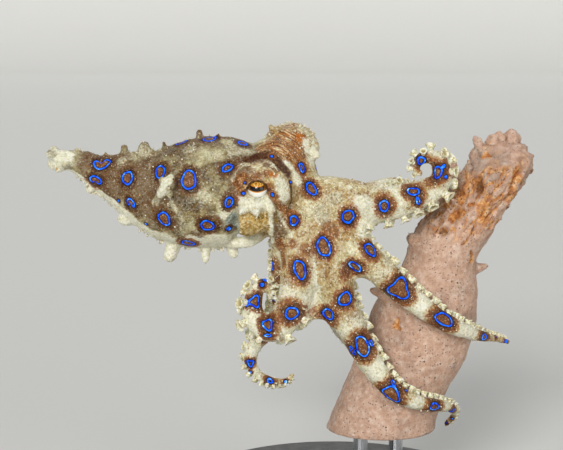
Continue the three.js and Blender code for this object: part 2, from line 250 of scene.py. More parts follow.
# %% Arms
ARM_TIP = 0.55
ARMS = {
    "left_1": (4.5, [(-5, -6, 68), (-1.5, -7.2, 68.4), (2, -7.6, 68), (6.5, -7, 67), (10, -6, 67),
        (14, -5, 68), (17.5, -4.2, 69.2), (20, -3.4, 70.6), (20.8, -3.2, 73), (19.9, -3.4, 75.5),
        (17.7, -3.8, 76.4), (15.7, -4.2, 75.4), (15.3, -4.6, 73.6), (16.6, -5, 72.8)]),
    "right_1": (4.6, [(-4.5, -8, 65), (0, -9.5, 61), (4.5, -10, 57), (8.5, -9.5, 53.5), (12, -8.5, 50),
        (16.5, -8.2, 46.5), (21, -7.6, 43.3), (25.4, -5.6, 41), (29.2, -1.5, 39), (32.8, 2.6, 37.6),
        (36.5, 6, 36)]),
    "right_2": (4.8, [(-5, -8, 63.5), (-3, -9.5, 58), (-0.9, -10, 51), (1.5, -9.5, 44.5),
        (4.4, -8.7, 38.4), (7.5, -8.4, 33.2), (11, -8, 29), (15.5, -6.6, 26.4), (20, -3.4, 24.8),
        (23.8, 1.4, 23), (25, 5.4, 20.4), (23.6, 8, 17.4)]),
    "right_3": (4.0, [(-7, -8, 63), (-7.8, -9.8, 59), (-8.2, -10.8, 53.5), (-9.4, -10.9, 47.6),
        (-11.4, -10.8, 43.9), (-14.3, -10.4, 42.4), (-16.7, -9.9, 43.8), (-17.6, -9.5, 46.6),
        (-17, -9.2, 49.4), (-15.6, -9, 51.1), (-14.3, -8.9, 50.7), (-13.9, -8.8, 49.2),
        (-14.2, -8.7, 47.8)]),
    "right_4": (2.3, [(-8, -7, 64.5), (-11, -8.8, 62), (-11.6, -7.2, 57), (-11.6, -4.6, 50.5),
        (-12, -2.8, 45), (-13.8, -1.4, 40.6), (-16.8, -0.4, 37.2), (-18.3, 0.2, 33.8), (-17, 0.8, 30.6),
        (-14.2, 1.4, 28.8), (-11.2, 1.8, 28.5), (-9, 2.2, 30)]),
    "left_4": (3.4, [(-5.5, -4, 62), (-4.5, 0, 55.5), (-2.5, 4, 47.5), (0, 9, 40), (4, 15, 33.6),
        (10, 19, 29), (16.4, 20, 26), (21.4, 18.6, 24.4), (24.4, 15.4, 24)]),
    "left_3": (3.6, [(-4.5, -4, 63.5), (-0.5, 0.8, 60), (3.5, 6, 56), (8, 11.6, 51.5), (14, 16, 46.8),
        (20, 17.6, 43.6), (25.2, 16, 41.6), (28.4, 12.4, 41)]),
    "left_2": (3.6, [(-4.5, -4, 65), (-1, -0.6, 66), (3.5, 2.2, 67), (8.5, 4.8, 68.4), (12.5, 8.2, 68.8),
        (16.2, 12.4, 67), (20.2, 15.4, 63.6), (25, 16, 60.4), (29.6, 13.6, 58.4), (31.8, 10.4, 57.6)]),
}
TAPER = {"left_1": 1.5, "right_3": 2.0, "right_4": 2.0}  # the arms that curl stay thick for longer
PLAIN_TAPER = 0.8  # the power of share by which the others thin
WAYS = {name: Line(way) for name, (thick, way) in ARMS.items()}


def arm_radius(name, share):
    return ARMS[name][0] + (ARM_TIP - ARMS[name][0]) * share ** TAPER.get(name, PLAIN_TAPER)


def arm_side(name, share, degrees):
    """The point on the surface of an arm at a share of its length, so many degrees round it."""
    return WAYS[name].at(share) + WAYS[name].side(share, degrees) * arm_radius(name, share) * MM


body = bmesh.new()
for name, way in WAYS.items():
    limb(body, way, lambda share: arm_radius(name, share), steps=60)
    # a slim core in the last stretch of each arm
    limb(body, way, lambda share: ARM_TIP * (1.0 if share < 0.995 else 0.5), start=0.97, steps=3, sides=12)
    print(f"arm {name}: {way.length / MM:.0f} mm long")

# %% [markdown]
# The web joins neighbouring arms like cloth between ribs. Each panel starts as a cube that is cut
# into a lattice and then spread between its two arms, thick at the crown and thin at its free
# edge, which is drawn in between the arms.

# %% Web
WEB_START = 4.2  # mm along both arms
WEB_NOTCH = 0.3  # how much less it reaches midway between them
WEB_EDGE, WEB_ROOT = 1.1, 2.6  # mm thick at its free edge, and what it gains at the crown
NEXT = 0.03  # the step in u and v that gives the panel's slope
WEB_REACH = {"left_1": 17, "right_1": 19.8, "right_2": 27.5, "right_3": 20, "right_4": 19, "left_4": 20,
             "left_3": 20, "left_2": 19}  # from each arm to the next one, in mm along both


def web_point(one, other, reach, u, v):
    """The point of a panel that is u across from one arm to the other, and v out from the crown."""
    out = (WEB_START + (reach - WEB_START) * v * (1 - WEB_NOTCH * math.sin(math.pi * u))) * MM
    return one.at(out / one.length).lerp(other.at(out / other.length), u)


def web_panel(bm, one, other, reach):
    panel = bmesh.new()
    bmesh.ops.create_cube(panel, size=1)
    bmesh.ops.subdivide_edges(panel, edges=panel.edges, cuts=11, use_grid_fill=True)
    for vert in panel.verts:
        u, v, side = vert.co.x + 0.5, vert.co.y + 0.5, vert.co.z
        low_u, high_u = max(u - NEXT, 0), min(u + NEXT, 1)
        low_v, high_v = max(v - NEXT, 0), min(v + NEXT, 1)
        go_u = web_point(one, other, reach, high_u, v) - web_point(one, other, reach, low_u, v)
        go_v = web_point(one, other, reach, u, high_v) - web_point(one, other, reach, u, low_v)
        thick = (WEB_EDGE + WEB_ROOT * (1 - v) ** 1.5) * MM
        vert.co = web_point(one, other, reach, u, v) + go_u.cross(go_v).normalized() * side * thick
    mesh = bpy.data.meshes.new("web panel")
    panel.to_mesh(mesh)
    panel.free()
    bm.from_mesh(mesh)
    bpy.data.meshes.remove(mesh)


arm_order = list(WAYS)
for name, following in zip(arm_order, arm_order[1:] + arm_order[:1]):
    web_panel(body, WAYS[name], WAYS[following], WEB_REACH[name])
print("web panels:", len(arm_order), "vertices so far:", len(body.verts))

# %% [markdown]
# The mantle is the bag that holds the animal's organs. It is drawn out to a point behind and
# stands on its side edges like a lemon. It is one loft of ovals along its middle line.

# %% Mantle
MANTLE_Y = -7
MANTLE_DEPTH = 0.86
MANTLE = [(-57.6, 76.4, 1.6), (-55.6, 76, 2.1), (-53.5, 75.8, 2.1), (-51, 75, 2.7), (-48, 73.6, 3.6),
          (-43.5, 72, 5.7), (-38, 70, 8.2), (-32.5, 69.2, 10.3), (-27, 69.4, 11.1), (-22.5, 69.6, 11),
          (-19.4, 69.2, 9.9), (-16.8, 68, 7.7), (-14.2, 66.6, 5.2)]  # x, z and radius up and down
mantle_rows = smooth(MANTLE, 5)


def mantle_at(x, degrees):
    """The point of the mantle's side at x mm, so many degrees up from its right side."""
    z, radius = (np.interp(x, mantle_rows[:, 0], mantle_rows[:, k]) for k in (1, 2))
    turn = math.radians(degrees)
    return Vector((x, MANTLE_Y - MANTLE_DEPTH * radius * math.cos(turn), z + radius * math.sin(turn))) * MM


places = []
for i, (x, z, radius) in enumerate(mantle_rows):
    ahead, behind = mantle_rows[min(i + 1, len(mantle_rows) - 1)], mantle_rows[max(i - 1, 0)]
    along = Vector((ahead[0] - behind[0], 0, ahead[1] - behind[1])).normalized()
    deep = Vector((0, 1, 0))
    places.append(station(Vector((x, MANTLE_Y, z)) * MM, along.cross(deep) * radius * MM,
                          deep * radius * MANTLE_DEPTH * MM, along))
loft(body, places, 40)
print("mantle length, in mm:", round(mantle_rows[-1][0] - mantle_rows[0][0], 1))

# %% [markdown]
# The head is a core with two bulbs that carry the eyes. It is rolled, so that the right eye looks
# out level and the left one looks up and away. Balls are joined here and melt together later.

# %% Head and crown
def ball(bm, centre, radii):
    place = Matrix.Translation(Vector(centre) * MM) @ Matrix.Diagonal(Vector(radii) * MM).to_4x4()
    bmesh.ops.create_uvsphere(bm, u_segments=32, v_segments=20, radius=1, matrix=place)


BULBS = {"right": Vector((-15, -11.4, 70.8)), "left": Vector((-9.9, -3, 77.9))}
BULB_RADII = (5.8, 5.2, 5.2)
ball(body, (-12.8, -6, 72.2), (8.4, 6.4, 8.2))  # the core of the head
for bulb in BULBS.values():
    ball(body, bulb, BULB_RADII)
ball(body, (-5.5, -6.5, 63.5), (6.5, 4.6, 6.5))  # the crown that the arms grow from
ball(body, (-16.8, -14.6, 68.5), (4.8, 2.6, 1.7))  # the white apron below the right eye

EYE_RADIUS = 2.1
EYES = {"right": (Vector((-16.3, -14.7, 71)), Vector((-0.08, -0.99, 0.08)).normalized()),
        "left": (Vector((-10.3, -0.4, 80.3)), Vector((-0.12, 0.74, 0.66)).normalized())}
print("the eyes stand out of their bulbs by, in mm:",
      [round((EYES[side][0] - BULBS[side]).length + EYE_RADIUS - BULB_RADII[1], 2) for side in EYES])

# %% [markdown]
# Lids and folds give the head its look. Each is a short soft roll of skin, laid as a thin limb:
# two lids that meet at the corners of each eye, the scalloped fold below the apron, and folds where
# the head meets the web. A pointed tuft stands on the side of the mantle, with three small points.

# %% Lids and folds
def roll(bm, points, thick, thin):
    """A roll of skin through points in mm, thick in the middle and thin at its ends."""
    def radius_at(share):
        return thin + (thick - thin) * math.sin(math.pi * min(max(share, 0.02), 0.98)) ** 0.6

    limb(bm, Line(points), radius_at, steps=14, sides=12)


LID_FLAT = 0.86  # how high the lids stand, as a share of how wide


def by_the_eye(side, degrees, out, forward):
    """A point so many degrees round an eye, so many mm out from its middle line and forward."""
    centre, gaze = EYES[side]
    level = Vector((0, 0, 1)).cross(gaze).normalized() if side == "right" else Vector((1, 0, 0))
    up = gaze.cross(level).normalized()
    turn = math.radians(degrees)
    return centre + gaze * forward + (level * math.cos(turn) + up * math.sin(turn) * LID_FLAT) * out


for side in EYES:
    roll(body, [by_the_eye(side, d, 2.3, 0.95) for d in (-8, 25, 60, 90, 120, 155, 188)], 0.62, 0.35)
    roll(body, [by_the_eye(side, d, 2.4, 0.85) for d in (172, 205, 240, 270, 300, 335, 368)], 0.5, 0.35)

ROLLS = [  # the points of each roll, and its thickness in the middle and at its ends
    ([(-13, -16.4, 66.4), (-13.9, -16, 65.2), (-13.2, -15.2, 63.8), (-13.7, -14, 62.4),
      (-12.9, -12.4, 61.2), (-13.4, -10.4, 59.8), (-13, -8.6, 58.2)], 0.75, 0.5),
    ([(-11.6, -13, 67), (-11.6, -12.8, 64.6), (-11.4, -11.6, 62.4), (-11, -10.6, 59.6)], 1.9, 1.5),
    ([(-9.2, -10.6, 67), (-9, -11, 64.6), (-8.8, -10.8, 62)], 2.2, 1.8),
    ([(-22.4, -9, 59.6), (-19, -10, 59.8), (-16, -10.4, 61.2), (-13.8, -10.4, 62.8)], 1.3, 0.9),
]
TUFT = [(-36.8, -13, 67.4), (-35.2, -14.8, 69.6), (-33.9, -16.2, 71.6), (-32.5, -17, 74)]
TUFT_POINTS = [[(-35.2, -15.4, 71), (-36.2, -16.4, 71.6)], [(-34.6, -16, 72.6), (-35.2, -17, 73.4)],
               [(-33.6, -16, 70.2), (-32.8, -17, 69.8)]]
for points, thick, thin in ROLLS:
    roll(body, points, thick, thin)
limb(body, Line(TUFT), lambda share: 0.35 + 1.3 * math.sin(math.pi * min(share, 0.97) ** 1.6) ** 0.8,
     steps=18, sides=12)
for points in TUFT_POINTS:
    roll(body, points, 0.6, 0.4)
print("folds laid, vertices so far:", len(body.verts))

# %% [markdown]
# Papillae are soft spikes that the animal raises to break its outline. Big ones are part of the
# skin, each a short limb with a waist and a blunt end. Each row is root, tip and the two radii.

# %% Papillae
PAPILLAE = [
    ((-50.2, -7, 73), (-50, -7, 69), 1.0, 1.1), ((-47.6, -8, 71), (-48.2, -8, 68.4), 0.5, 0.4),
    ((-46, -7, 69), (-46.4, -7, 67.4), 0.6, 0.5), ((-41.2, -8, 67), (-43.6, -8, 62.9), 2.2, 1.7),
    ((-38.2, -8, 63.8), (-39.4, -8, 61.4), 0.9, 0.8), ((-37, -9, 63), (-37.8, -9.4, 60.6), 0.7, 0.5),
    ((-36, -8, 62.6), (-36.9, -8, 59.6), 0.5, 0.4), ((-32.8, -8, 61), (-34.4, -8, 55.4), 2.1, 1.5),
    ((-30.2, -8, 60), (-30.4, -8, 57.8), 0.7, 0.5), ((-26.8, -8, 60), (-27, -8, 55), 1.4, 0.9),
    ((-24.6, -8, 60), (-24.2, -8, 57.6), 0.5, 0.4), ((-22.4, -8, 60.8), (-20.9, -8, 56.2), 1.7, 1.1),
    ((-42.8, -7, 76.2), (-43.1, -7, 79.2), 0.9, 0.8),
    ((-39.4, -8.2, 75), (-38.6, -8.6, 79.9), 2.9, 1.0),
    ((-38, -8.4, 75.4), (-37.2, -8.6, 78.4), 1.8, 0.8),
    ((-40.4, -8, 75.4), (-41.4, -8.4, 77.9), 1.2, 0.6),
    ((-36, -8, 76.4), (-35.8, -8.4, 78.6), 0.7, 0.5), ((-35, -7, 77.8), (-35.2, -7.2, 79.9), 0.7, 0.5),
    ((-29.8, -11.6, 77.4), (-29.6, -13, 79.6), 0.8, 0.5), ((-28.2, -5, 79), (-28.2, -5, 82), 0.8, 0.7),
    ((-24.4, -8, 79.6), (-24.2, -8.4, 81.4), 0.6, 0.45),
    ((-46.6, -7.4, 75.8), (-46.8, -7.6, 77.8), 0.5, 0.4),
    ((-52.6, -7, 76.4), (-52.4, -7, 78.6), 0.6, 0.45), ((-50, -7, 76.2), (-50.2, -7.2, 77.9), 0.5, 0.4),
    ((-56.8, -7, 75.6), (-57.2, -7, 78.9), 1.6, 1.0), ((-56.8, -7, 76.6), (-58, -7, 74.2), 1.6, 1.0),
    ((-56.6, -7, 75.6), (-55.8, -7.6, 73.6), 1.2, 0.9),
    ((-57.2, -8, 76.8), (-57.8, -9.8, 77.6), 1.2, 0.9), ((-55, -8.4, 76), (-54.2, -10, 75), 1.0, 0.8),
    ((-34, 0, 72), (-32.4, 3, 75), 1.5, 0.9), ((4.6, -8.6, 67), (4.8, -12.2, 68), 1.5, 1.2),
    ((4, -9, 63.4), (4.2, -11.8, 62.4), 1.3, 1.2), ((11.8, -6.4, 68.8), (12.2, -7.6, 71.6), 0.7, 0.6),
    ((8, -8, 69.6), (8.2, -8.6, 71.6), 0.6, 0.5),
    # on the head
    ((-13, -4.4, 81.4), (-14.2, -4.8, 82.8), 0.9, 0.6),
    ((-14.8, -5.4, 78.6), (-16.2, -5.8, 79.6), 0.7, 0.5), ((-6, -3.8, 78), (-3.9, -4, 78.4), 1.1, 0.6),
    ((-7.4, -3.4, 80.6), (-5.9, -3.6, 81.6), 0.8, 0.5),
    ((-10, -3.4, 82.4), (-9.8, -3.6, 83.4), 0.8, 0.5),
    ((-19, -15.6, 68.4), (-19.5, -17.8, 66.2), 1.35, 0.6),
    ((-16.5, -16.4, 68.2), (-16.5, -18.8, 65.9), 1.4, 0.5),
    ((-14, -15.8, 68.2), (-13.2, -17.4, 65.6), 1.3, 0.75),
    ((-20.8, -13.6, 69), (-22.2, -15.2, 67.7), 1.2, 0.6),
    ((-13.4, -15.6, 64.6), (-14.8, -16.2, 64.2), 0.6, 0.4),
    ((-13.4, -14, 62.8), (-14.6, -14.4, 62.2), 0.6, 0.4),
    ((-13, -11.6, 60.8), (-14.4, -11.8, 60.2), 0.6, 0.4), ((-5, -7.4, 79), (-4.2, -8, 79.2), 1.0, 0.7),
    ((-5.2, -6.4, 77), (-4, -6.6, 76.6), 1.1, 0.7),
]


def papilla(bm, root, tip, wide, narrow):
    """A spike that thins quickly from its root and ends in a round knob."""
    def radius_at(share):
        waist = 1 - 0.1 * math.sin(math.pi * share)
        knob = math.sqrt(1.03 - max(share - 0.7, 0) ** 2 / 0.09)
        return (wide + (narrow - wide) * share ** 0.6) * waist * knob

    limb(bm, Line([root, tip]), radius_at, steps=12, sides=12)


for row in PAPILLAE:
    papilla(body, *row)
print("papillae:", len(PAPILLAE))

# %% [markdown]
# The funnel is the tube that the animal breathes and swims with. It is lofted along its way to the
# lip, and the same loft then turns inwards and runs back, which leaves a hollow mouth.

# %% Funnel
funnel_way = Line([(-12.4, -9.8, 66), (-15, -13.4, 65.2), (-17.8, -15.2, 64.6), (-20.6, -15.7, 64.3)])
# share of its way, and radius in mm: out along its wall, and back inside its mouth
FUNNEL_WALL = [(0, 1.9), (0.25, 2.0), (0.45, 2.4), (0.65, 2.75), (0.82, 2.65), (0.93, 2.25), (0.99, 1.85),
               (1.0, 1.7)]
FUNNEL_MOUTH = [(0.99, 1.6), (0.94, 1.45), (0.84, 1.3), (0.78, 0.6)]
places = []
for share, radius in FUNNEL_WALL + FUNNEL_MOUTH:
    across, deep = (funnel_way.side(share, degrees) * radius * MM for degrees in (0, 90))
    places.append(station(funnel_way.at(share), across, deep, funnel_way.along(share)))
loft(body, places, 24)
print("funnel length, in mm:", round(funnel_way.length / MM, 1))

# %% [markdown]
# All those closed forms now become one skin. A voxel remesh wraps them in one even surface, as
# clay takes them all at once, and smoothing melts the joins, most of all in the web.

# %% One skin
def new_piece(name, bm):
    """Turns a bmesh into a piece that rides on the root body."""
    mesh = bpy.data.meshes.new(name)
    bm.to_mesh(mesh)
    bm.free()
    piece = put(name, mesh)
    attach(piece, "root")
    return piece


def triangles(piece):
    return sum(len(face.vertices) - 2 for face in piece.data.polygons)


def bake_modifiers(piece):
    """Turns a piece's modifiers into plain mesh."""
    done = bpy.data.meshes.new_from_object(piece.evaluated_get(bpy.context.evaluated_depsgraph_get()))
    piece.modifiers.clear()
    piece.data = done


def one_body(piece, voxel):
    """Wraps all the closed forms of a piece in one even surface."""
    remesh = piece.modifiers.new("one body", "REMESH")
    remesh.mode = "VOXEL"
    remesh.voxel_size = voxel
    bake_modifiers(piece)


def melt(bm, verts, passes):
    """Smooths the joins between forms."""
    for turn in range(passes):
        bmesh.ops.smooth_vert(bm, verts=verts, factor=0.5, use_axis_x=True, use_axis_y=True, use_axis_z=True)


SKIN_VOXEL = 0.36 * MM
WEB_MIDDLE, WEB_AROUND = Vector((-1, -8, 58)) * MM, 15 * MM  # the part of the web that is smoothed most
skin = new_piece("octopus_skin", body)
one_body(skin, SKIN_VOXEL)
bm = bmesh.new()
bm.from_mesh(skin.data)
near_crown = [v for v in bm.verts if (v.co - WEB_MIDDLE).length < WEB_AROUND and v.co.y < -6 * MM]
melt(bm, bm.verts, 4)
melt(bm, near_crown, 24)
print("skin vertices:", len(bm.verts), "triangles:", sum(len(f.verts) - 2 for f in bm.faces))

# %% [markdown]
# Skin is never smooth. Noise raises soft wrinkles in three sizes. Folds follow lines that are laid
# on the skin from the animal's right side: a groove is pressed in, and a ridge stands out.

# %% Wrinkles and folds
def wrinkle(point):
    """How far the skin stands out at a point, in mm, in waves about 3, 1.5 and 0.8 mm wide."""
    p = point / MM
    middling = 0.12 * noise.noise(p / 1.5 + Vector((9, 0, 0)))
    return 0.17 * noise.noise(p / 3.1) + middling + 0.06 * noise.noise(p / 0.8)


FOLDS = [  # tone, x and z of its points, half width and height in mm
    ("cream", [(-21.1, 73), (-20.9, 74.2), (-20.2, 75.1), (-19.2, 75.7), (-18.2, 75.8)], 0.32, 0.5),
    ("groove", [(-18.6, 76.6), (-16.2, 77.1), (-14.2, 77.4), (-13.1, 76.6), (-11.9, 75.4),
                (-10.5, 73.8)], 0.75, -0.4),
    ("groove", [(-10.6, 73.9), (-10, 72.3), (-9.8, 70.2), (-9.8, 68.2), (-10.4, 66.2)], 0.34, -0.4),
    ("brown", [(-21.4, 75.4), (-19.6, 76.6), (-17.2, 76.8), (-13.7, 77), (-12.2, 75.4),
               (-10.4, 73.6)], 1.1, -0.2),
    # this brown fold, left of the right eye's dome, is the animal's brown laid darker as painted shade of
    # that side
    ("brown", [(-19.9, 73.8), (-20.1, 72.2), (-20.4, 70.6)], 0.8, -0.2),
    ("cream", [(-10.9, 75.5), (-9.6, 73.9), (-8.1, 71.9)], 0.85, 0.5),
    ("rust", [(-14.2, 71.6), (-13.4, 69.8), (-12.4, 68.2), (-11, 66.9), (-10, 66.2)], 0.9, -0.15),
    ("brown", [(-13, 66), (-12.9, 64.4), (-12.7, 62.8), (-12.3, 61), (-11.9, 59.4)], 0.8, 0),
    ("rust", [(-12.2, 60.4), (-11.6, 58), (-11.2, 55.6)], 0.8, 0),
    ("brown", [(-20.6, 74.4), (-19.4, 75), (-18.2, 75)], 0.8, -0.1),
    ("cream", [(-14.9, 76), (-13.7, 75.8), (-12.8, 75)], 0.3, 0.3),
    ("cream", [(-12.4, 66.4), (-11.8, 65.2), (-10.8, 63.6), (-9.7, 61.6)], 0.3, 0.35),
    ("cream", [(-13.6, 66), (-13.9, 64.8), (-13.6, 63.6), (-13.8, 62.2), (-13.4, 61),
               (-13.7, 59.6)], 0.35, 0.1),
    ("ash", [(-11.2, 81.8), (-9.4, 80.2), (-8.2, 78.4)], 0.22, 0.15),
    ("ash", [(-36.4, 68.4), (-35.4, 70)], 0.7, 0.1),
    ("cream", [(-35.2, 70.4), (-34.2, 72.2), (-33.2, 73.6)], 0.9, 0.2),
    ("ash", [(-33.9, 72.2), (-32.9, 68.3), (-31, 64.6), (-31.4, 62.4)], 0.45, 0.4),
    ("ash", [(-37.7, 76), (-37.3, 74.6), (-36.9, 73.2)], 0.35, 0.3),
    ("cream", [(3.6, 68.4), (5, 66), (6.2, 63.4), (7.2, 61.4)], 1.2, 0.3),
]
fold_ways = []  # the same lines laid on the skin, as points in mm


def seen_at(tree, x, z):
    """The point of the skin that shows at x and z, in mm, from the animal's right side, or None."""
    return tree.ray_cast(Vector((x, -60, z)) * MM, Vector((0, 1, 0)))[0]


def fold_share(places, laid, half_width):
    """How far each place is from a fold, in half widths of it."""
    return np.min([np.linalg.norm(places - p, axis=1) for p in laid], axis=0) / half_width


tree_of_skin = BVHTree.FromBMesh(bm)
for tone, way, half_width, height in FOLDS:
    laid = [seen_at(tree_of_skin, x, z) for x, z, flat in smooth([(x, z, 0) for x, z in way], 8)]
    laid = np.array([p / MM for p in laid if p])
    gaps = np.linalg.norm(np.diff(laid, axis=0), axis=1)
    fold_ways.append(laid[np.append(True, gaps < 3)])  # a leap to a part behind isn't followed

bm.normal_update()
places = np.array([v.co for v in bm.verts]) / MM
stands_out = sum(height * np.clip(1 - fold_share(places, laid, half_width) ** 2, 0, 1)
                 for laid, (tone, way, half_width, height) in zip(fold_ways, FOLDS))
for vert, out in zip(bm.verts, stands_out):
    vert.co += vert.normal * (wrinkle(vert.co) + out) * MM
print("folds:", len(FOLDS), "from", round(stands_out.min(), 2), "to", round(stands_out.max(), 2), "mm high")

# %% [markdown]
# Each eye gets its socket. The patch of skin in front of the eyeball is pushed round behind it, so
# that the skin stays whole, and its edge becomes the lids, thicker than the skin beside them. The
# skin there is first cut finer, and low rings of folds are raised round the lids.

# %% Eye sockets
SOCKET = EYE_RADIUS + 0.15
NEAR_EYE, SOCKET_REACH = 3.6, 5.4  # mm from the middle of an eye: where skin is cut finer, and where it moves
OPEN_WIDE, OPEN_HIGH = math.radians(56), math.radians(37)  # from the middle of the eye to a corner, a lid
LID_THICK, LID_REACH = 0.5, math.radians(55)
RIPPLE_START, RIPPLE_HIGH, RIPPLE_RATE = 2.3, 0.16, 5.2  # mm out, mm high, and radians to the mm


def eye_axes(gaze):
    """Two directions square to the gaze: level, and up."""
    level = Vector((0, 0, 1)).cross(gaze).normalized() if gaze.y < 0 else Vector((-1, 0, 0))
    up = gaze.cross(level).normalized()
    return up.cross(gaze), up


def opening_at(square, level, up):
    """The angle from the middle of the eye to the lid's edge, on the side that square points to."""
    above, below = max(square.dot(up), 0), max(-square.dot(up), 0)
    wide, high = OPEN_WIDE - 0.3 * above ** 0.6, OPEN_HIGH + 0.12 * below  # narrower above, deeper below
    return 1 / math.hypot(square.dot(level) / wide, square.dot(up) / high)


near_eyes = [e for e in bm.edges
             if min((e.verts[0].co / MM - centre).length for centre, gaze in EYES.values()) < NEAR_EYE]
bmesh.ops.subdivide_edges(bm, edges=near_eyes, cuts=1, use_grid_fill=True)
bmesh.ops.triangulate(bm, faces=[f for f in bm.faces if len(f.verts) > 4])
for centre, gaze in EYES.values():
    level, up = eye_axes(gaze)
    for vert in bm.verts:
        out = vert.co / MM - centre
        if out.length > SOCKET_REACH or out.normalized().dot(gaze) < -0.3:
            continue
        from_lid = (out - gaze * out.dot(gaze)).length - RIPPLE_START
        if from_lid > 0 and out.dot(gaze) > 0:
            out += gaze * RIPPLE_HIGH * math.sin(from_lid * RIPPLE_RATE) * max(1 - from_lid / 3, 0)
        polar = math.acos(max(min(out.normalized().dot(gaze), 1), -1))
        square = (out - gaze * out.dot(gaze)).normalized()
        opening = opening_at(square, level, up)
        if polar < opening:
            polar = math.pi - polar / opening * (math.pi - opening)
            far = SOCKET
        else:
            thick = LID_THICK * max(1 - (polar - opening) / LID_REACH, 0) ** 0.7
            far = max(out.length, SOCKET + thick) if polar - opening < LID_REACH else out.length
        vert.co = (centre + (gaze * math.cos(polar) + square * math.sin(polar)) * far) * MM
bm.to_mesh(skin.data)
bm.free()
skin.data.shade_smooth()
print("socket radius, in mm:", SOCKET, "skin triangles:", triangles(skin))

# %% [markdown]
# The rings are what this octopus is known for. Each one is set on the body by name and by place: so
# far along the mantle or an arm, so many degrees round it, with its length, its width and its tilt.
# The distance from every point of the skin to the nearest ring outline is then kept on the skin as
# one number, and the finish draws the blue line, the dark rim and the brown patch from it.

# %% Ring places
# Sizes are over the blue line. A positive tilt leans a ring's top to the left, and the last number
# says, where a ring is not closed, which way it is open, in degrees.
MANTLE_RINGS = [  # mm along, degrees up from the side, length, width, tilt
    (-47.3, 36, 3.5, 2.4, 0, 100), (-48.4, -26, 2.8, 1.8, -12, -90), (-42, 14, 2.2, 2.9, -8),
    (-35.5, 32, 2.1, 2.9, -5), (-29.7, 20, 3.1, 3.8, -8), (-22.2, 31, 1.6, 2.3, -55),
    (-21.9, -5, 1.7, 2.2, -8), (-41.2, -27, 1.6, 2.3, 35, -135), (-34.6, -26, 2.4, 3.2, 22),
    (-26.2, -30, 2.7, 2.4, 0), (-21.9, -37, 1.1, 1.1, 0, 40), (-30.2, -61, 2.8, 1.9, -12),
    (-19.6, 76, 2.2, 1.6, 0), (-31.6, 84, 2.4, 2, 0), (-26, 78, 2.6, 2.4, 0), (-43.5, -38, 0.6, 0.5, 0),
    (-38.2, -47, 0.6, 0.5, 0),
]
HEAD_RINGS = [  # x, y, z, length, width, tilt
    (-18.8, -15.1, 72.4, 0.42, 0.42, 0), (-19.1, -14.9, 70.3, 0.62, 0.56, 0),
    (-13.5, -16.2, 70.1, 0.5, 0.85, 35), (-13.6, -10.4, 77, 0.8, 0.46, -20),
    (-9.9, -13, 72.2, 0.5, 0.56, 0), (-7.7, -10.6, 74.8, 1.4, 2.0, 22), (-4.6, -6.6, 74.4, 0.9, 0.9, 0),
    (-5.8, -9.7, 70.5, 1.8, 3.0, 38), (-9.3, -10.8, 64.6, 1.8, 2.2, 15),
    (-3.4, -13.5, 59.4, 2.6, 4.1, 14), (-8.1, -13.6, 55, 2.4, 4.0, 12), (-7.8, 0, 82, 1.6, 1.4, 0),
    (-13, 3, 73, 2, 2.4, 0), (-7, 0.6, 70, 2, 2.6, 20),
]
ARM_RINGS = {  # share of the arm, degrees round it, length, width, number of lobes
    "left_1": [(0.177, -42, 2.6, 2.7, 0), (0.326, 4, 2.1, 2.5, 0), (0.507, 30, 2.2, 2.1, 2),
        (0.514, -12, 1.0, 1.7, 0), (0.74, 30, 2.3, 2.0, 2), (0.765, -14, 0.7, 0.8, 0),
        (0.71, -16, 0.7, 0.7, 0), (0.9, 14, 1.7, 1.8, 0)],
    "right_1": [(0.217, 42, 3.0, 2.3, 0), (0.217, -47, 3.0, 2.1, 0), (0.385, 4, 4.6, 3.8, 3),
        (0.59, 18, 4.4, 2.4, 0), (0.809, 13, 2.2, 1.4, 0), (0.9, 40, 0.4, 0.4, 0),
        (0.97, 14, 1.0, 0.9, 0)],
    "right_2": [(0.24, 19, 2.8, 2.9, 0), (0.274, -68, 2.8, 2.3, 0), (0.403, 8, 4.0, 3.0, 2),
        (0.404, -44, 2.3, 1.1, 0), (0.411, 54, 1.4, 1.2, 3), (0.584, -15, 4.2, 2.8, 3),
        (0.565, 42, 1.7, 1.0, 0), (0.62, 60, 0.5, 0.5, 0), (0.739, 2, 2.9, 1.6, 3),
        (0.855, -15, 1.4, 1.2, 0), (0.95, -10, 0.5, 0.5, 0), (0.985, -40, 0.4, 0.4, 0)],
    "right_3": [(0.444, 4, 2.7, 2.7, 0), (0.592, -30, 2.2, 2.4, 3), (0.6, 20, 1.6, 0.8, 2),
        (0.79, -14, 2.5, 2.1, 3), (0.775, 34, 1.3, 1.0, 0), (0.9, 66, 1.0, 1.0, 0),
        (0.885, 6, 0.9, 0.8, 0)],
    "right_4": [(0.25, -72, 2.0, 1.0, 0), (0.4, -60, 1.6, 1.3, 0), (0.5, 0, 1.8, 1.5, 2),
        (0.62, -20, 1.6, 1.4, 0), (0.75, 6, 1.6, 1.5, 3), (0.79, -44, 0.7, 0.7, 0),
        (0.88, 6, 1.3, 1.2, 2), (0.95, -10, 0.7, 0.7, 0)],
}
for name in ("left_2", "left_3", "left_4"):  # the hidden arms have theirs in one wavy row
    ARM_RINGS[name] = [(share, 200 + 50 * math.sin(9 * share), arm_radius(name, share) + 0.3,
                        0.85 * arm_radius(name, share) + 0.2, 3 if share == 0.5 else 0)
                       for share in (0.2, 0.32, 0.42, 0.5, 0.6, 0.7, 0.79, 0.87, 0.94)]
MANTLE_RINGS += [(x + 0.8 * math.sin(x), 180 - up, long, wide, -tilt)  # and the mantle's left side
                 for x, up, long, wide, tilt, *gap in MANTLE_RINGS if up < 70]
print("rings listed:", len(MANTLE_RINGS) + len(HEAD_RINGS) + sum(len(rings) for rings in ARM_RINGS.values()))

# %% [markdown]
# Each ring gets the skin point nearest to its place, the way the skin faces there, and two axes in
# the skin: along the body part, and across it.

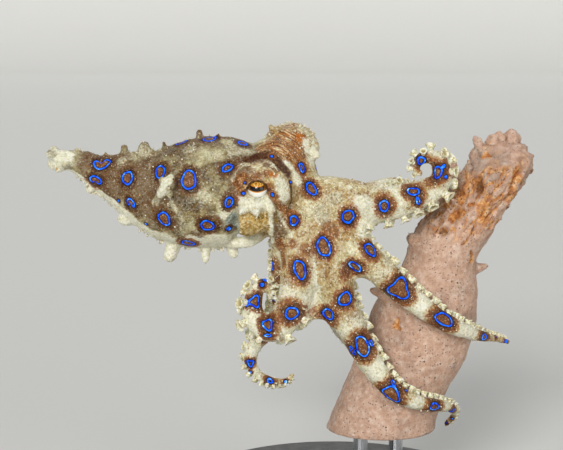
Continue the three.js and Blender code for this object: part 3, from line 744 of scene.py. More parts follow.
# %% Rings set on the skin
tree_of_skin = BVHTree.FromPolygons([v.co for v in skin.data.vertices],
                                    [face.vertices for face in skin.data.polygons])
LINE = 0.3  # width of the blue line, mm
RIGHT_SIDE = -9  # a ring of the head whose y is less than this is set by its x and z
ring_list = []  # place, facing, along, across, half length, half width, lobes, which way it is open


def add_ring(place, along, long, wide, tilt=0.0, open_to=None, lobes=0):
    point, facing, index, far = tree_of_skin.find_nearest(place)
    along = (along - facing * along.dot(facing)).normalized()
    across = facing.cross(along)
    turn = math.radians(tilt)
    leaning = along * math.cos(turn) + across * math.sin(turn)
    beside = across * math.cos(turn) - along * math.sin(turn)
    half = [(size - LINE) / 2 if size > 3 * LINE else max(size / 2 - 0.14, 0.05) for size in (long, wide)]
    gap = None if open_to is None else math.radians(open_to)
    ring_list.append((point / MM, facing, leaning, beside, *half, lobes, gap))


for x, up, *shape in MANTLE_RINGS:
    add_ring(mantle_at(x, up), Vector((1, 0, 0)), *shape)
for x, y, z, *shape in HEAD_RINGS:
    seen = seen_at(tree_of_skin, x, z)
    add_ring(seen if y < RIGHT_SIDE and seen else Vector((x, y, z)) * MM, Vector((1, 0, 0)), *shape)
for name, rings in ARM_RINGS.items():
    for share, degrees, long, wide, lobes in rings:
        add_ring(arm_side(name, share, degrees), WAYS[name].along(share), long, wide, lobes=lobes)
print("rings:", len(ring_list))

# %% [markdown]
# The distance from a skin point to a ring is measured in the plane of the ring: how far it is from
# the outline, less than nothing inside. A lobed ring swells and shrinks as it goes round, and each
# ring wavers a little of its own. The least distance of all is kept.

# %% Distance to the rings
def mesh_array(mesh, what="co"):
    """The points of a mesh, or the way it faces at each, as rows of three numbers."""
    found = np.empty(len(mesh.vertices) * 3, np.float32)
    if what == "co":
        mesh.vertices.foreach_get("co", found)
    else:
        mesh.vertex_normals.foreach_get("vector", found)
    return found.reshape(-1, 3).astype(float)


def keep(mesh, name, values):
    """Keeps one number for each point of a mesh, for its finish to read."""
    mesh.attributes.new(name, "FLOAT", "POINT").data.foreach_set("value", np.asarray(values, np.float32))


points = mesh_array(skin.data) / MM
normals = mesh_array(skin.data, "normal")
RING_FAR = 3.5  # mm, past which it makes no difference
RING_DEEP = 2.2  # mm of skin, in or out from a ring's plane, that belongs to it
OPEN_HALF = math.radians(48)
LOBE_DEPTH = {0: 0.0, 2: 0.2, 3: 0.17}
WAVERS = [(2, 0.05, 1), (3, 0.05, 2.3), (5, 0.03, 4.1)]  # times round, how much, and its own shift
ring_distance, halo_distance = np.full(len(points), RING_FAR), np.full(len(points), RING_FAR)
for i, (place, facing, along, across, long, wide, lobes, open_to) in enumerate(ring_list):
    near = np.flatnonzero((np.abs(points - np.array(place)).max(axis=1) < max(long, wide) + RING_FAR)
                          & (normals @ np.array(facing) > -0.1))
    offset = points[near] - np.array(place)
    a, b, depth = offset @ np.array(along), offset @ np.array(across), offset @ np.array(facing)
    angle = np.arctan2(b / wide, a / long)
    wobble = 1
    for times, much, shift in WAVERS:
        wobble = wobble + much * np.sin(times * angle + shift * i)
    wobble += LOBE_DEPTH[lobes] * np.cos(lobes * angle + 0.6)
    round_share = np.hypot(a / long, b / wide)
    size = np.hypot(a, b) / np.maximum(round_share, 1e-6)
    distance = np.where(round_share > 1e-6, (round_share - wobble) * size, -min(long, wide))
    if open_to is not None:
        into = OPEN_HALF - np.abs((np.arctan2(b, a) - open_to + math.pi) % (2 * math.pi) - math.pi)
        distance = np.where(into > 0, np.maximum(distance, into * size), distance)
    distance = np.maximum(distance, np.abs(depth) - RING_DEEP)
    if max(long, wide) < LINE * 1.2:  # a small spot is filled
        distance = np.maximum(distance, 0)
    ring_distance[near] = np.minimum(ring_distance[near], distance)
    spreads = min(max(0.3 + 0.6 * max(long, wide), 0.4), 1)  # a small spot has a small halo
    halo_distance[near] = np.minimum(halo_distance[near], distance / spreads)
keep(skin.data, "ring", ring_distance)
print("the outline is off by", round(ring_distance.min(), 2), "to", round(ring_distance.max(), 2), "mm")

# %% [markdown]
# Along each arm the suckers face one way, to the sponge that they grip, or outwards in a curl. The
# side that carries them is paler than the back of the arm, so the tones need it as well as the
# suckers do.

# %% The sucker side of each arm
SUCKER_SIDE = {"left_1": (-112, -76), "right_1": (160, 146), "right_2": (158, 146), "right_3": (110, 84),
               "right_4": (172, 280)}  # at the crown and at the tip


def sucker_way(name, share):
    """The way the suckers of an arm face. Hidden arms turn them to the sponge behind the animal."""
    way = WAYS[name]
    if name in SUCKER_SIDE:
        at_crown, at_tip = SUCKER_SIDE[name]
        return at_crown + (at_tip - at_crown) * share
    to_sponge = Vector((18, 6, way.at(share).z / MM)) * MM - way.at(share)
    return math.degrees(math.atan2(to_sponge.dot(way.side(share, 90)), to_sponge.dot(way.side(share, 0))))


print("sucker side of the arms halfway, in degrees:", {name: round(sucker_way(name, 0.5)) for name in WAYS})


# %% [markdown]
# Larger tones are laid as soft blots, each a place in millimetres and a reach: cream on the apron
# and the spikes, brown over the back and between the bulbs, and rust on the head. The folds carry
# tones too. All are numbers on the skin, so that the finish can break up their edges with noise.

# %% Tones laid as blots and folds
BLOTS = {
    "cream": [(-4.7, -5.4, 78.8, 1.5), (-4, -6.6, 76.6, 1.6), (-6.4, -7.2, 79.4, 1.1),
        (-5.6, -7.4, 78, 1.4), (-5.6, -8, 76.2, 1.2), (-58, -7, 76, 3.2), (-55.2, -8, 76.4, 2.2),
        (-12.2, -15.2, 72.2, 1.2), (-11.8, -15, 71.4, 1.7), (-11.4, -14.8, 69.6, 1.3),
        (-11.2, -14.2, 68, 0.7), (-16.6, -17, 68.4, 1.8), (-14.4, -16.8, 68.4, 1.6),
        (-18.8, -16, 68.2, 1.7), (-20.6, -15, 68.4, 1.4), (-16.4, -17.6, 66.8, 1.1),
        (-13.4, -16.4, 66.6, 1.1), (-19.4, -17, 67, 1.0), (-16.4, -16.4, 69.6, 1.2),
        (-4.8, -5.6, 77.5, 2.0), (-11, -3, 82.8, 1.2), (5, -11.8, 67.6, 2.0), (6.6, -11, 65, 2.4),
        (5.6, -11.4, 62.8, 2.0), (8.4, -9, 64.6, 1.8), (12.2, -7.4, 71, 0.9), (-22, -15.6, 66.2, 1.4),
        (-5.6, -12.6, 50, 1.6), (-11.2, -13, 50.6, 1.4), (1, -13, 55, 1.2), (1.6, -10.6, 70.8, 0.6)],
    "ash": [(-21, -12, 78.2, 2.2), (-18.2, -11.4, 77.4, 1.8), (-29.6, -12, 78.4, 1.2),
        (-24.6, -13.4, 77, 1.4), (-27, -16.4, 70, 1.6), (-43.4, -10, 76, 1.0), (-39, -9.4, 78, 1.4),
        (-22.4, -16, 68.6, 1.4), (-4, -12.4, 66, 2.2), (-13.6, -13.4, 75.4, 0.4), (-12.7, -12.6, 76, 0.4),
        (-1.4, -10.4, 68.4, 2.0)],
    # the brown blots at x about -19 to -21, left of the right eye's dome, are the animal's brown laid darker
    # there as painted shade of that side
    "brown": [(-14.4, -13.4, 75.6, 1.0), (-12.7, -13.8, 74.9, 0.8), (-19, -15, 74.2, 1.6),
        (-20.4, -15.2, 73.4, 1.4), (-21, -15.8, 72, 1.3), (-20.8, -16, 69.6, 0.9), (-45, -11, 75, 5),
        (-39.4, -13, 73.6, 4.5), (-36.6, -15, 70.4, 3.4), (-45, -10, 71.6, 4), (-37, -14, 66.6, 3),
        (-49.4, -8, 75.4, 3), (-13, -11, 76.4, 1.6), (-16.2, -11, 76.9, 1.5), (-19.6, -14.4, 75.4, 1.0),
        (-20.4, -15.8, 70.6, 1.0), (-29, -14, 60.6, 2.0), (-24.6, -16, 64.6, 1.6),
        (-12.3, -14.6, 65.2, 1.2), (-12.2, -14, 63.8, 1.3), (-11.8, -13, 62, 1.4), (-27, -4, 79, 7),
        (-35, 0, 73, 9), (-30, 3, 66, 7), (-24, -7, 80.4, 3)],
    # so are the rust blots at x about -19 to -20: the animal's rust, deepened there as painted shade
    "rust": [(-17, -15.8, 73.9, 1.6), (-19.6, -15.6, 71.2, 0.8), (-14.4, -15.4, 74.4, 0.9),
        (-19.2, -15.2, 73.4, 1.5), (-20.3, -15.5, 72.4, 1.1), (-17.6, -14.8, 75, 1.1),
        (-12.4, -15.8, 69.4, 0.8), (-11.6, -11.8, 59, 1.5), (-12.4, -8, 55.4, 1.5),
        (-12.2, -6.6, 52, 1.3), (-2, -13.4, 62.4, 1.8), (-6.6, -13.6, 58.6, 1.6), (2.6, -13, 50.4, 1.6),
        (-9.6, -13.2, 60, 1.0)],
    "fox": [(-8, -7.2, 80.6, 0.9), (-7, -7, 79.8, 0.8), (-12.9, -15.4, 73.8, 0.55),
        (-13.6, -15.3, 74, 0.5), (-10.6, -7.4, 81.2, 0.6)],
    "combed": [(-13, -9.4, 78, 2.9), (-9.4, -9, 77.4, 2.8), (-8.4, -7.6, 80, 2.4), (-11, -8, 80.6, 2.6),
        (-10, -3, 79, 4.4)],
    "groove": [],  # dark grooves lie only in the folds and at the lids
}
NARROW = 0.45  # mm of half width: a cream fold that is narrower is a ridge
noise_of_points = np.array([noise.noise(Vector(p) / 2.2) for p in points])
tones = {}
marked = np.zeros(len(points))  # where a dark fold covers the paler tones
ridges = np.zeros(len(points))  # where a pale ridge lies over a dark fold
for tone, blots in BLOTS.items():
    weight = np.zeros(len(points))
    for *place, reach in blots:
        away = np.linalg.norm(points - np.array(place), axis=1) / reach + 0.35 * noise_of_points
        weight = np.maximum(weight, np.clip(1.5 - away, 0, 1))
    for laid, (fold_tone, way, half_width, height) in zip(fold_ways, FOLDS):
        if fold_tone == tone:
            on_fold = np.clip(1.5 - fold_share(points, laid, half_width) + 0.25 * noise_of_points, 0, 1)
            weight = np.maximum(weight, on_fold)
            if tone in ("groove", "rust", "brown"):
                marked = np.maximum(marked, on_fold)
            if tone == "cream" and half_width < NARROW:
                ridges = np.maximum(ridges, on_fold)
    tones[tone] = weight
print("blots:", {tone: len(blots) for tone, blots in BLOTS.items()})

# %% [markdown]
# The rest of the tones follow the body: a pale belly, pale sucker sides, pale skin between the
# rings of an arm, a golden funnel with a grey mouth, and a dark edge to the lids. Each is worked
# out from the same lines that the body was lofted on.

# %% Tones that follow the body
BELLY_LINE, BELLY_EDGE = 0.79, 0.1  # share of the mantle's half height below its middle, and the softness
LEAVES_WEB, LEAVES_WEB_LATE = 0.22, 0.5  # share of an arm that the web holds, and for right_4
LID_EDGE = 0.13  # radians
on_mantle = np.clip((-15 - points[:, 0]) / 2, 0, 1)
station_z, station_r = (np.interp(points[:, 0], mantle_rows[:, 0], mantle_rows[:, k]) for k in (1, 2))
below = (station_z - points[:, 2]) / station_r
near_rim = np.clip((points[:, 0] + 34) / 6, 0, 1)  # the pale belly is wider towards the mantle's rim
belly = on_mantle * np.clip((below - BELLY_LINE + 0.14 * near_rim + 0.1 * noise_of_points) / BELLY_EDGE, 0, 1)

nearest_arm = np.full(len(points), 1.2)  # mm outside the arm's own round surface
sucker_side, on_arm = np.zeros(len(points)), np.zeros(len(points))
for name, way in WAYS.items():
    leaves_web = LEAVES_WEB_LATE if name == "right_4" else LEAVES_WEB
    for share in np.linspace(0.12, 1, 60):
        away = points - np.array(way.at(share)) / MM
        off = np.linalg.norm(away, axis=1) - arm_radius(name, share)
        near = np.flatnonzero(off < nearest_arm)
        suckers_face = np.array(way.side(share, sucker_way(name, share)))
        faces = away[near] @ suckers_face / np.linalg.norm(away[near], axis=1)
        nearest_arm[near] = off[near]
        on_arm[near] = np.clip((share - leaves_web) / 0.15, 0, 1)
        pale = np.clip((faces - 0.1) / 0.5 + 0.3 * noise_of_points[near], 0, 1)
        sucker_side[near] = pale * 0.7 * (share > leaves_web - 0.1)
between_rings = on_arm * np.clip((ring_distance - 1.5 + 0.5 * noise_of_points) / 1.2, 0, 1) * 0.8

off_funnel = np.min([np.linalg.norm(points - np.array(funnel_way.at(share)) / MM, axis=1)
                     - np.interp(share, *zip(*FUNNEL_WALL)) for share in np.linspace(0.1, 1, 12)], axis=0)
gold = np.clip(1 - (off_funnel - 0.35) / 0.3, 0, 1) * np.clip((67 - points[:, 2]) / 0.6, 0, 1)
past_lip = (points - np.array(funnel_way.at(0.93)) / MM) @ np.array(funnel_way.along(0.93))
in_mouth = np.clip(past_lip / 0.4, 0, 1)

for centre, gaze in EYES.values():  # a dark edge to the lids, faint below the eye
    level, up = eye_axes(gaze)
    for i in np.flatnonzero(np.linalg.norm(points - np.array(centre), axis=1) < NEAR_EYE):
        out = (Vector(points[i]) - centre).normalized()
        square = (out - gaze * out.dot(gaze)).normalized()
        past_edge = math.acos(max(min(out.dot(gaze), 1), -1)) - opening_at(square, level, up)
        lid_edge = min(max(1.35 - past_edge / LID_EDGE + 1.2 * noise.noise(Vector(points[i]) / 0.45), 0), 1)
        tones["groove"][i] = max(tones["groove"][i], lid_edge * min(max(1 + 2.2 * square.dot(up), 0), 1))
print("pale belly:", int((belly > 0.5).sum()), "points, funnel:", int((gold > 0.5).sum()))

# %% [markdown]
# Where tones meet, the dark folds win over the pale tones, and the pale ridges win over the dark
# folds. The results are kept on the skin, with the halo round each ring and the two numbers that
# comb the strands of the head: how far from the middle of their curve, and how far round it.

# %% Tones kept on the skin
HALO_MANTLE, HALO_HEAD, HALO_ARM = 2.1, 2.0, 1.0  # mm of brown round a ring; an arm's is added to the head's
DOME_MIDDLE, DOME_REACH = (-15.8, -12.5, 71.3), 6  # the bulb that holds the right eye, in mm
STRANDS_X, STRANDS_Z = -13.4, 73.6  # mm, the middle that the strands of the head curve round
marked = np.maximum(marked, tones["groove"])
tones["cream"] = np.maximum.reduce([tones["cream"], belly, sucker_side, between_rings])
tones["cream"] = np.maximum(tones["cream"] * (1 - gold) * (1 - 0.9 * marked), ridges)
for tone in ("groove", "brown", "rust"):
    tones[tone] = tones[tone] * (1 - 0.8 * ridges)
for tone in ("ash", "combed"):
    tones[tone] *= 1 - 0.8 * marked
halo_reach = HALO_MANTLE * on_mantle + (HALO_HEAD + HALO_ARM * on_arm) * (1 - on_mantle)
off_dome = np.clip((np.linalg.norm(points - DOME_MIDDLE, axis=1) - DOME_REACH) / 0.8, 0, 1)
arc = np.hypot(points[:, 0] - STRANDS_X, points[:, 2] - STRANDS_Z)
sweep = arc * np.arctan2(points[:, 2] - STRANDS_Z, STRANDS_X - points[:, 0])
for tone, weight in {**tones, "gold": gold, "halo": np.clip(1 - halo_distance / halo_reach, 0, 1),
                     "mouth": in_mouth * gold, "mantle": on_mantle * (1 - belly) * off_dome,
                     "arc": arc, "sweep": sweep}.items():
    keep(skin.data, tone, weight)
print("tones kept:", {tone: round(float(weight.mean()), 3) for tone, weight in tones.items()})

# %% [markdown]
# The finish of the skin. Real octopus skin is wet and slightly see-through, with thousands of
# pigment sacs that read as fine grain, so the colours are mixed from a grain of cells about a third
# of a millimetre wide. That is coarser than the real sacs, so that it still shows. First come the
# values that the finish reads: noises, the grain, and the tones with their edges frayed.

# %% Skin finish: what it reads
TONE_EDGES = {  # how far noise frays its edge, where it is 0, where it is full, and how much that covers
    "brown": (1.0, 0.15, 0.9, 0.85), "ash": (1.0, 0.15, 0.9, 0.8), "rust": (1.0, 0.1, 0.8, 0.9),
    "combed": (0.8, 0.1, 0.8, 0.92), "fox": (0.8, 0.1, 0.8, 0.85), "cream": (0.8, 0.1, 0.8, 0.92),
    "groove": (0.6, 0.15, 0.7, 0.92), "halo": (0.9, 0.12, 0.9, 1.0),
}
skin_finish, tree, shader, known = start_material(
    "wet octopus skin", [*TONE_EDGES, "ring", "gold", "mouth", "mantle", "arc", "sweep"])
add_rows(tree, known, [("clouds", "mm", 0.24, 5.0, 0.62), ("ragged", "mm", 1.5, 4.0, 0.7),
                       ("fine", "mm", 3.0, 3.0, 0.6), ("glint", "mm", 1.2, 2.0)], **NOISE)
cells = add_node(tree, "ShaderNodeTexVoronoi", {"Vector": known["mm"], "Scale": 2.6})
cell_tone = add_node(tree, "ShaderNodeSeparateColor", {"Color": (cells, "Color")})
known.update({"grain": (cells, "Distance"), "grain tone": (cell_tone, "Red"),
              "grain fray": (cell_tone, "Green")})
for tone, (reach, off, on, full) in TONE_EDGES.items():
    add_rows(tree, known, [("shift", "MULTIPLY_ADD", "ragged", reach, -0.65 * reach),
                           ("shift", "MULTIPLY_ADD", "grain fray", 0.3 * reach, "shift"),
                           ("shift", "ADD", "shift", tone)], **MATHS)
    add_rows(tree, known, [(f"{tone} share", "shift", off, on, full)], **SOFT_STEP)
print("the skin's finish reads", len(known), "values")

# %% [markdown]
# Then the colours. Each comes from a ramp over clouds, over ragged noise or over the grain, and a
# little grain is mixed into it. The skin over the left eye runs in fine pale and dark strands, like
# combed hair, so its noise is stretched along the numbers that comb it. Round a ring the skin is
# nearly black, fox brown further out, and duller on the mantle.

# %% Skin finish: colours
combed = add_node(tree, "ShaderNodeCombineXYZ", {"X": known["arc"], "Y": known["sweep"]})
combed = add_node(tree, "ShaderNodeMapping", {"Vector": combed, "Scale": (3.4, 0.4, 1.0)})
known["combed way"] = (combed, 0)
add_rows(tree, known, [("strands", "combed way", 1.0, 4.0, 0.62)], noise_dimensions="2D", **NOISE)
add_rows(tree, known, [
    ("pale grain", "grain tone", [(0.0, "#4A3216"), (0.14, "#8A6A38"), (0.34, "#C2AE7E"), (0.6, "#DCD4AE"),
                                  (0.82, "#F6F4E2"), (0.94, "#C48A30")]),
    ("dark grain", "grain tone", [(0.0, "#24120A"), (0.3, "#5A3216"), (0.6, "#83502A"), (0.85, "#A87640"),
                                  (0.95, "#C89C60")]),
    ("flesh colour", "clouds", [(0.34, "#84592A"), (0.43, "#A07C46"), (0.5, "#B8A06A"), (0.58, "#D2C89A"),
                                (0.68, "#ECEACA")]),
    ("mantle colour", "clouds", [(0.36, "#33241A"), (0.45, "#564629"), (0.53, "#8C8258"), (0.62, "#C2BC94")]),
    ("ash colour", "ragged", [(0.36, "#8A8464"), (0.48, "#B2AC8C"), (0.6, "#DAD6BA")]),
    ("rust colour", "ragged", [(0.36, "#542608"), (0.5, "#884A16"), (0.62, "#BC8442")]),
    ("strand colour", "strands", [(0.38, "#5A2806"), (0.5, "#94500F"), (0.59, "#B87A2E"), (0.67, "#F2E4B8")]),
    ("gold colour", "ragged", [(0.38, "#8A6A24"), (0.5, "#B08C3C"), (0.62, "#C8AC62")]),
    ("mouth colour", "ragged", [(0.4, "#76837E"), (0.6, "#B4B8A2")]),
    ("cream colour", "ragged", [(0.33, "#CCC8A2"), (0.44, "#E2E0C4"), (0.55, "#F2F1DC"), (0.68, "#FAFAF0")]),
    ("halo colour", "halo share", [(0.0, "#C88C48"), (0.2, "#B4743A"), (0.5, "#92522A"), (0.8, "#6E3A1C"),
                                   (0.98, "#42200F")]),
    ("dull halo", "halo share", [(0.0, "#7C6238"), (0.3, "#6E4C28"), (0.6, "#573416"), (0.85, "#3E220E"),
                                 (1.0, "#260F08")]),
    # the palest blue, where the glint noise is high, is a painted glint
    ("line colour", "glint", [(0.35, "#0030C8"), (0.48, "#005CFF"), (0.6, "#1478FF"), (0.7, "#8CC8FF")]),
], **RAMP)
known.update({"brown colour": "#5C3618", "fox colour": "#C06A08", "groove colour": "#3E1C10",
              "inside colour": "#7C4A2A", "combed colour": known["strand colour"]})
add_rows(tree, known, [("stain colour", "mantle", "halo colour", "dull halo")], **MIX)
MIXED_IN = {"flesh": (0.4, "pale grain"), "mantle": (0.16, "pale grain"), "brown": (0.1, "pale grain"),
            "ash": (0.25, "pale grain"), "rust": (0.2, "dark grain"), "combed": (0.15, "dark grain"),
            "fox": (0.2, "strand colour"), "gold": (0.3, "pale grain"), "cream": (0.12, "pale grain"),
            "groove": (0.25, "dark grain"), "stain": (0.2, "dark grain"), "inside": (0.35, "dark grain")}
add_rows(tree, known, [(f"{name} colour", share, f"{name} colour", grain)
                       for name, (share, grain) in MIXED_IN.items()], **MIX)
print("and now", len(known), "with its colours")

# %% [markdown]
# Last the layers, from the flesh up to the blue line. The line is a mirror of thin plates under the
# skin that gives back more blue than paint can. That is painted here: a faint glow, which is painted
# light, and paler spots of painted glint. A black-brown rim hugs it.
# Fine specks lie under the line and over the rest. The gloss is wet but low, and fine noise and the
# grain break it up.

# %% Skin finish: layers and gloss
LAYERS = ["mantle", "brown", "ash", "rust", "combed", "fox", "gold", "mouth", "cream", "groove", "stain",
          "inside", "dark specks", "pale specks", "rim", "line"]
known.update({"gold share": known["gold"], "mouth share": known["mouth"], "dark specks colour": "#5C4424",
              "pale specks colour": "#F4F2DA", "rim colour": "#160906"})
add_rows(tree, known, [("mantle share", "MULTIPLY", "mantle", 0.9), ("off line", "ABSOLUTE", "ring")],
         **MATHS)
add_rows(tree, known, [
    ("stain share", "halo share", 0.0, 0.5, 0.97), ("inside share", "ring", -0.1, -0.4, 1.0),
    ("dark specks", "fine", 0.46, 0.32, 1.0), ("pale specks", "fine", 0.57, 0.68, 1.0),
    ("off groove", "groove", 0.8, 0.1, 1.0), ("gloss", "fine", 0.3, 0.7, 0.2),
    ("rim share", "off line", LINE * 1.5, LINE * 0.75, 0.92),
    ("line share", "off line", LINE * 0.62, LINE * 0.38, 1.0),
], **SOFT_STEP)
add_rows(tree, known, [("plain", "cream", 0.2, 0.8, 0.45, 0.06), ("few", "mantle", 0.0, 1.0, 0.42, 0.34)],
         **STEP)
add_rows(tree, known, [
    ("dark specks share", "MULTIPLY", "dark specks", "plain"),
    ("pale specks", "MULTIPLY", "pale specks", "few"),
    ("pale specks share", "MULTIPLY", "pale specks", "off groove"), ("glow", "MULTIPLY", "line share", 0.35),
    ("relief", "MULTIPLY_ADD", "grain", -0.9, "fine"), ("gloss", "ADD", "gloss", 0.36),
], **MATHS)
known["skin"] = known["flesh colour"]
add_rows(tree, known, [("skin", f"{layer} share", "skin", f"{layer} colour") for layer in LAYERS], **MIX)
bump = add_node(tree, "ShaderNodeBump", {"Strength": 0.8, "Distance": 0.16 * MM, "Height": known["relief"]})
# the blue line's emission is a painted glow: it stands in for the blue that its plates give back
set_inputs(tree, shader, {
    "Base Color": known["skin"], "Roughness": known["gloss"], "Normal": bump,
    "Emission Color": known["line colour"], "Emission Strength": known["glow"], "IOR": 1.38,
    "Subsurface Weight": 0.1, "Subsurface Radius": (1.0, 0.75, 0.45), "Subsurface Scale": 0.22 * MM,
    "Specular IOR Level": 0.25, "Coat Weight": 0.03, "Coat Roughness": 0.25})
dress(skin, skin_finish)
SOFT_SOLIDS = ("mantle", "head", "funnel", "crown", "web", "arm")
soft_nodes = [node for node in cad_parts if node.split("_")[0] in SOFT_SOLIDS]
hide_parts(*soft_nodes)
print("the skin stands for", len(soft_nodes), "solids")

# %% [markdown]
# Suckers, grains and small spikes are the same little form hundreds of times. One template of a few
# dozen faces is set on points by geometry nodes and made real, which keeps it one joined mesh. Each
# point carries a turn, a size and a tint.

# %% Scatter helper
def scatter(name, template, places, material):
    """One joined piece with the template at each place: (point, outward, size in mm, tint)."""
    mesh = bpy.data.meshes.new(name)
    mesh.from_pydata([place[0] for place in places], [], [])
    turns = mesh.attributes.new("turn", "FLOAT_VECTOR", "POINT")
    turns.data.foreach_set("vector", [angle for place in places
                                      for angle in place[1].to_track_quat("Z", "Y").to_euler()])
    keep(mesh, "size", [place[2] for place in places])
    keep(mesh, "tint", [place[3] for place in places])
    piece = put(name, mesh)

    nodes = bpy.data.node_groups.new(name, "GeometryNodeTree")
    nodes.interface.new_socket("Geometry", in_out="INPUT", socket_type="NodeSocketGeometry")
    nodes.interface.new_socket("Geometry", in_out="OUTPUT", socket_type="NodeSocketGeometry")
    points_in = add_node(nodes, "NodeGroupInput")
    form = add_node(nodes, "GeometryNodeObjectInfo", {"Object": template})
    turn = add_node(nodes, "GeometryNodeInputNamedAttribute", {"Name": "turn"}, data_type="FLOAT_VECTOR")
    size = add_node(nodes, "GeometryNodeInputNamedAttribute", {"Name": "size"}, data_type="FLOAT")
    placed = add_node(nodes, "GeometryNodeInstanceOnPoints", {
        "Points": points_in, "Instance": (form, "Geometry"), "Rotation": turn, "Scale": size})
    real = add_node(nodes, "GeometryNodeRealizeInstances", {0: placed})
    add_node(nodes, "NodeGroupOutput", {0: real})
    piece.modifiers.new("scatter", "NODES").node_group = nodes
    bake_modifiers(piece)
    bpy.data.objects.remove(template)
    dress(piece, material)
    piece.data.shade_smooth()
    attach(piece, "root")
    print(name, "-", len(places), "pieces,", triangles(piece), "triangles")
    return piece


def template_from(bm, name):
    """An object, one millimetre to the unit, that scatter sets on its points and then drops."""
    for vert in bm.verts:
        vert.co *= MM
    mesh = bpy.data.meshes.new(name)
    bm.to_mesh(mesh)
    bm.free()
    return put(name, mesh)


# %% [markdown]
# A sucker is a small muscular cup on a short neck. Its rim is wider than its neck and its middle is
# hollow. Ten circles are lofted up the neck, over the rim and down into the cup.

# %% Suckers
cup = bmesh.new()
CUP = [
    (-0.35, 0.36), (0, 0.32), (0.2, 0.31), (0.38, 0.4), (0.5, 0.5), (0.57, 0.52), (0.6, 0.46),
    (0.52, 0.34), (0.4, 0.2), (0.34, 0.06),
]
loft(cup, [oval((0, 0, height), radius, radius) for height, radius in CUP], 16)
for vert in cup.verts:  # the rim is scalloped
    if vert.co.z > 0.45:
        turn = math.atan2(vert.co.y, vert.co.x)
        vert.co.x *= 1 + 0.06 * math.cos(5 * turn)
        vert.co.y *= 1 + 0.06 * math.cos(5 * turn)
        vert.co.z += 0.05 * math.sin(2 * turn)
bmesh.ops.recalc_face_normals(cup, faces=cup.faces)
cup_depth = [1.0 if math.hypot(v.co.x, v.co.y) < 0.3 and v.co.z > 0 else 0.0 for v in cup.verts]
sucker_template = template_from(cup, "sucker form")
keep(sucker_template.data, "hollow", cup_depth)

random = np.random.default_rng(7)
sucker_places = []
for name, way in WAYS.items():
    walked, row = (0.42 if name == "right_3" else 0.13) * way.length, 1  # the web covers the start of right_3
    curls = name in ("left_1", "right_3")  # these arms show their suckers, which open wide
    while walked < way.length * 0.985:
        share = walked / way.length
        radius = arm_radius(name, share)
        if curls:
            wide = min(0.72 * radius + 0.8, 2.4)
        else:
            wide = max(min(1.1 * radius, 0.5 * radius + 0.85, 2.2), 0.55)
        wide *= random.uniform(0.85, 1.15)
        outward = way.side(share, sucker_way(name, share) + row * random.uniform(22, 38))
        lean = (outward + way.along(share) * random.uniform(-0.2, 0.2)).normalized()
        sucker_places.append((way.at(share) + outward * radius * 0.96 * MM, lean, wide, random.random()))
        walked += (0.64 if curls else 0.56) * wide * MM
        row = -row


def sucker_flesh(name):
    """Pale, slightly yellow muscle, a little see-through, with painted shade darkening the bottom of the cup.
    """
    material, tree, shader, known = start_material(name, ["hollow"])
    add_rows(tree, known, [("spots", "mm", 2.2, 3.0)], **NOISE)
    add_rows(tree, known, [("pale", "spots", [(0.34, "#B0A070"), (0.43, "#DAD2A8"), (0.54, "#F0ECD0"),
                                              (0.68, "#FCFBF0")])], **RAMP)
    # painted shade: the hollow bottom of the cup is mixed darker
    add_rows(tree, known, [("flesh", "hollow", "pale", "#A89868")], **MIX)
    set_inputs(tree, shader, {
        "Base Color": known["flesh"], "Roughness": 0.42, "Subsurface Weight": 0.3,
        "Subsurface Radius": (1.0, 0.7, 0.4), "Subsurface Scale": 0.8 * MM})
    return material


scatter("octopus_suckers", sucker_template, sucker_places, sucker_flesh("pale sucker flesh"))

# %% [markdown]
# Grains are pin-head bumps of cream skin. They sit all over the animal but not on the rings, and
# few lie in the dark folds. They are what makes the arms look sanded.

# %% Grains
GRAINS = 4200
eye_far = np.min([np.linalg.norm(points - np.array(centre), axis=1) for centre, gaze in EYES.values()],
                 axis=0)
open_skin = np.flatnonzero((ring_distance > 0.5) & (eye_far > 3.4))
liking = (0.2 + 0.8 * (1 - on_mantle) + 0.3 * tones["cream"])[open_skin]
liking = liking * np.clip(ring_distance[open_skin] / 1.6, 0.2, 1) * (1 - 0.9 * marked[open_skin])
chosen = random.choice(open_skin, GRAINS, replace=False, p=liking / liking.sum())

grain = bmesh.new()
bmesh.ops.create_icosphere(grain, subdivisions=1, radius=1)
bmesh.ops.scale(grain, vec=(1, 1, 0.6), verts=grain.verts)
grain_places = [(Vector(points[i]) * MM, Vector(normals[i]), 0.08 + 0.13 * random.random() ** 2,
                 random.random()) for i in chosen]


def pale_grain(name):
    """Cream grains, some golden: small pigment-free bumps that catch the light."""
    material, tree, shader, known = start_material(name, ["tint"])
    add_rows(tree, known, [("cream", "tint", [(0.0, "#B98A3C"), (0.25, "#D2B87E"), (0.6, "#E6DCBA"),
                                              (0.95, "#F4F0E0")])], **RAMP)
    set_inputs(tree, shader, {"Base Color": known["cream"], "Roughness": 0.45})
    return material


grain_form = template_from(grain, "grain form")
scatter("octopus_grains", grain_form, grain_places, pale_grain("cream skin grains"))

# %% [markdown]
# Small spikes of skin fringe the arms, the belly and the edge of the web, and stand round the left
# eye. Each is set on the skin nearest to a place on an arm or the mantle, and keeps clear of eyes
# and rings. They share the finish of the skin, in its cream.

# %% Small spikes
EYE_CLEAR, RING_CLEAR = 3.2, 0.45  # mm
spike = bmesh.new()
SPIKE = [(-0.3, 0.62), (0.2, 0.5), (0.7, 0.42), (1.1, 0.44), (1.4, 0.3), (1.5, 0.1)]
loft(spike, [oval((0, 0, height), radius, radius) for height, radius in SPIKE], 8)
bmesh.ops.recalc_face_normals(spike, faces=spike.faces)
spike_places = []


def add_spike(place, size):
    """A spike on the skin nearest to place, unless the skin is further off than a millimetre."""
    point, facing, index, far = tree_of_skin.find_nearest(place)
    off_eye = min((point / MM - centre).length for centre, gaze in EYES.values()) > EYE_CLEAR
    off_ring = ring_distance[skin.data.polygons[index].vertices[0]] > RING_CLEAR
    if far < 1 * MM and off_eye and off_ring:
        spike_places.append((point, facing, size, random.random()))


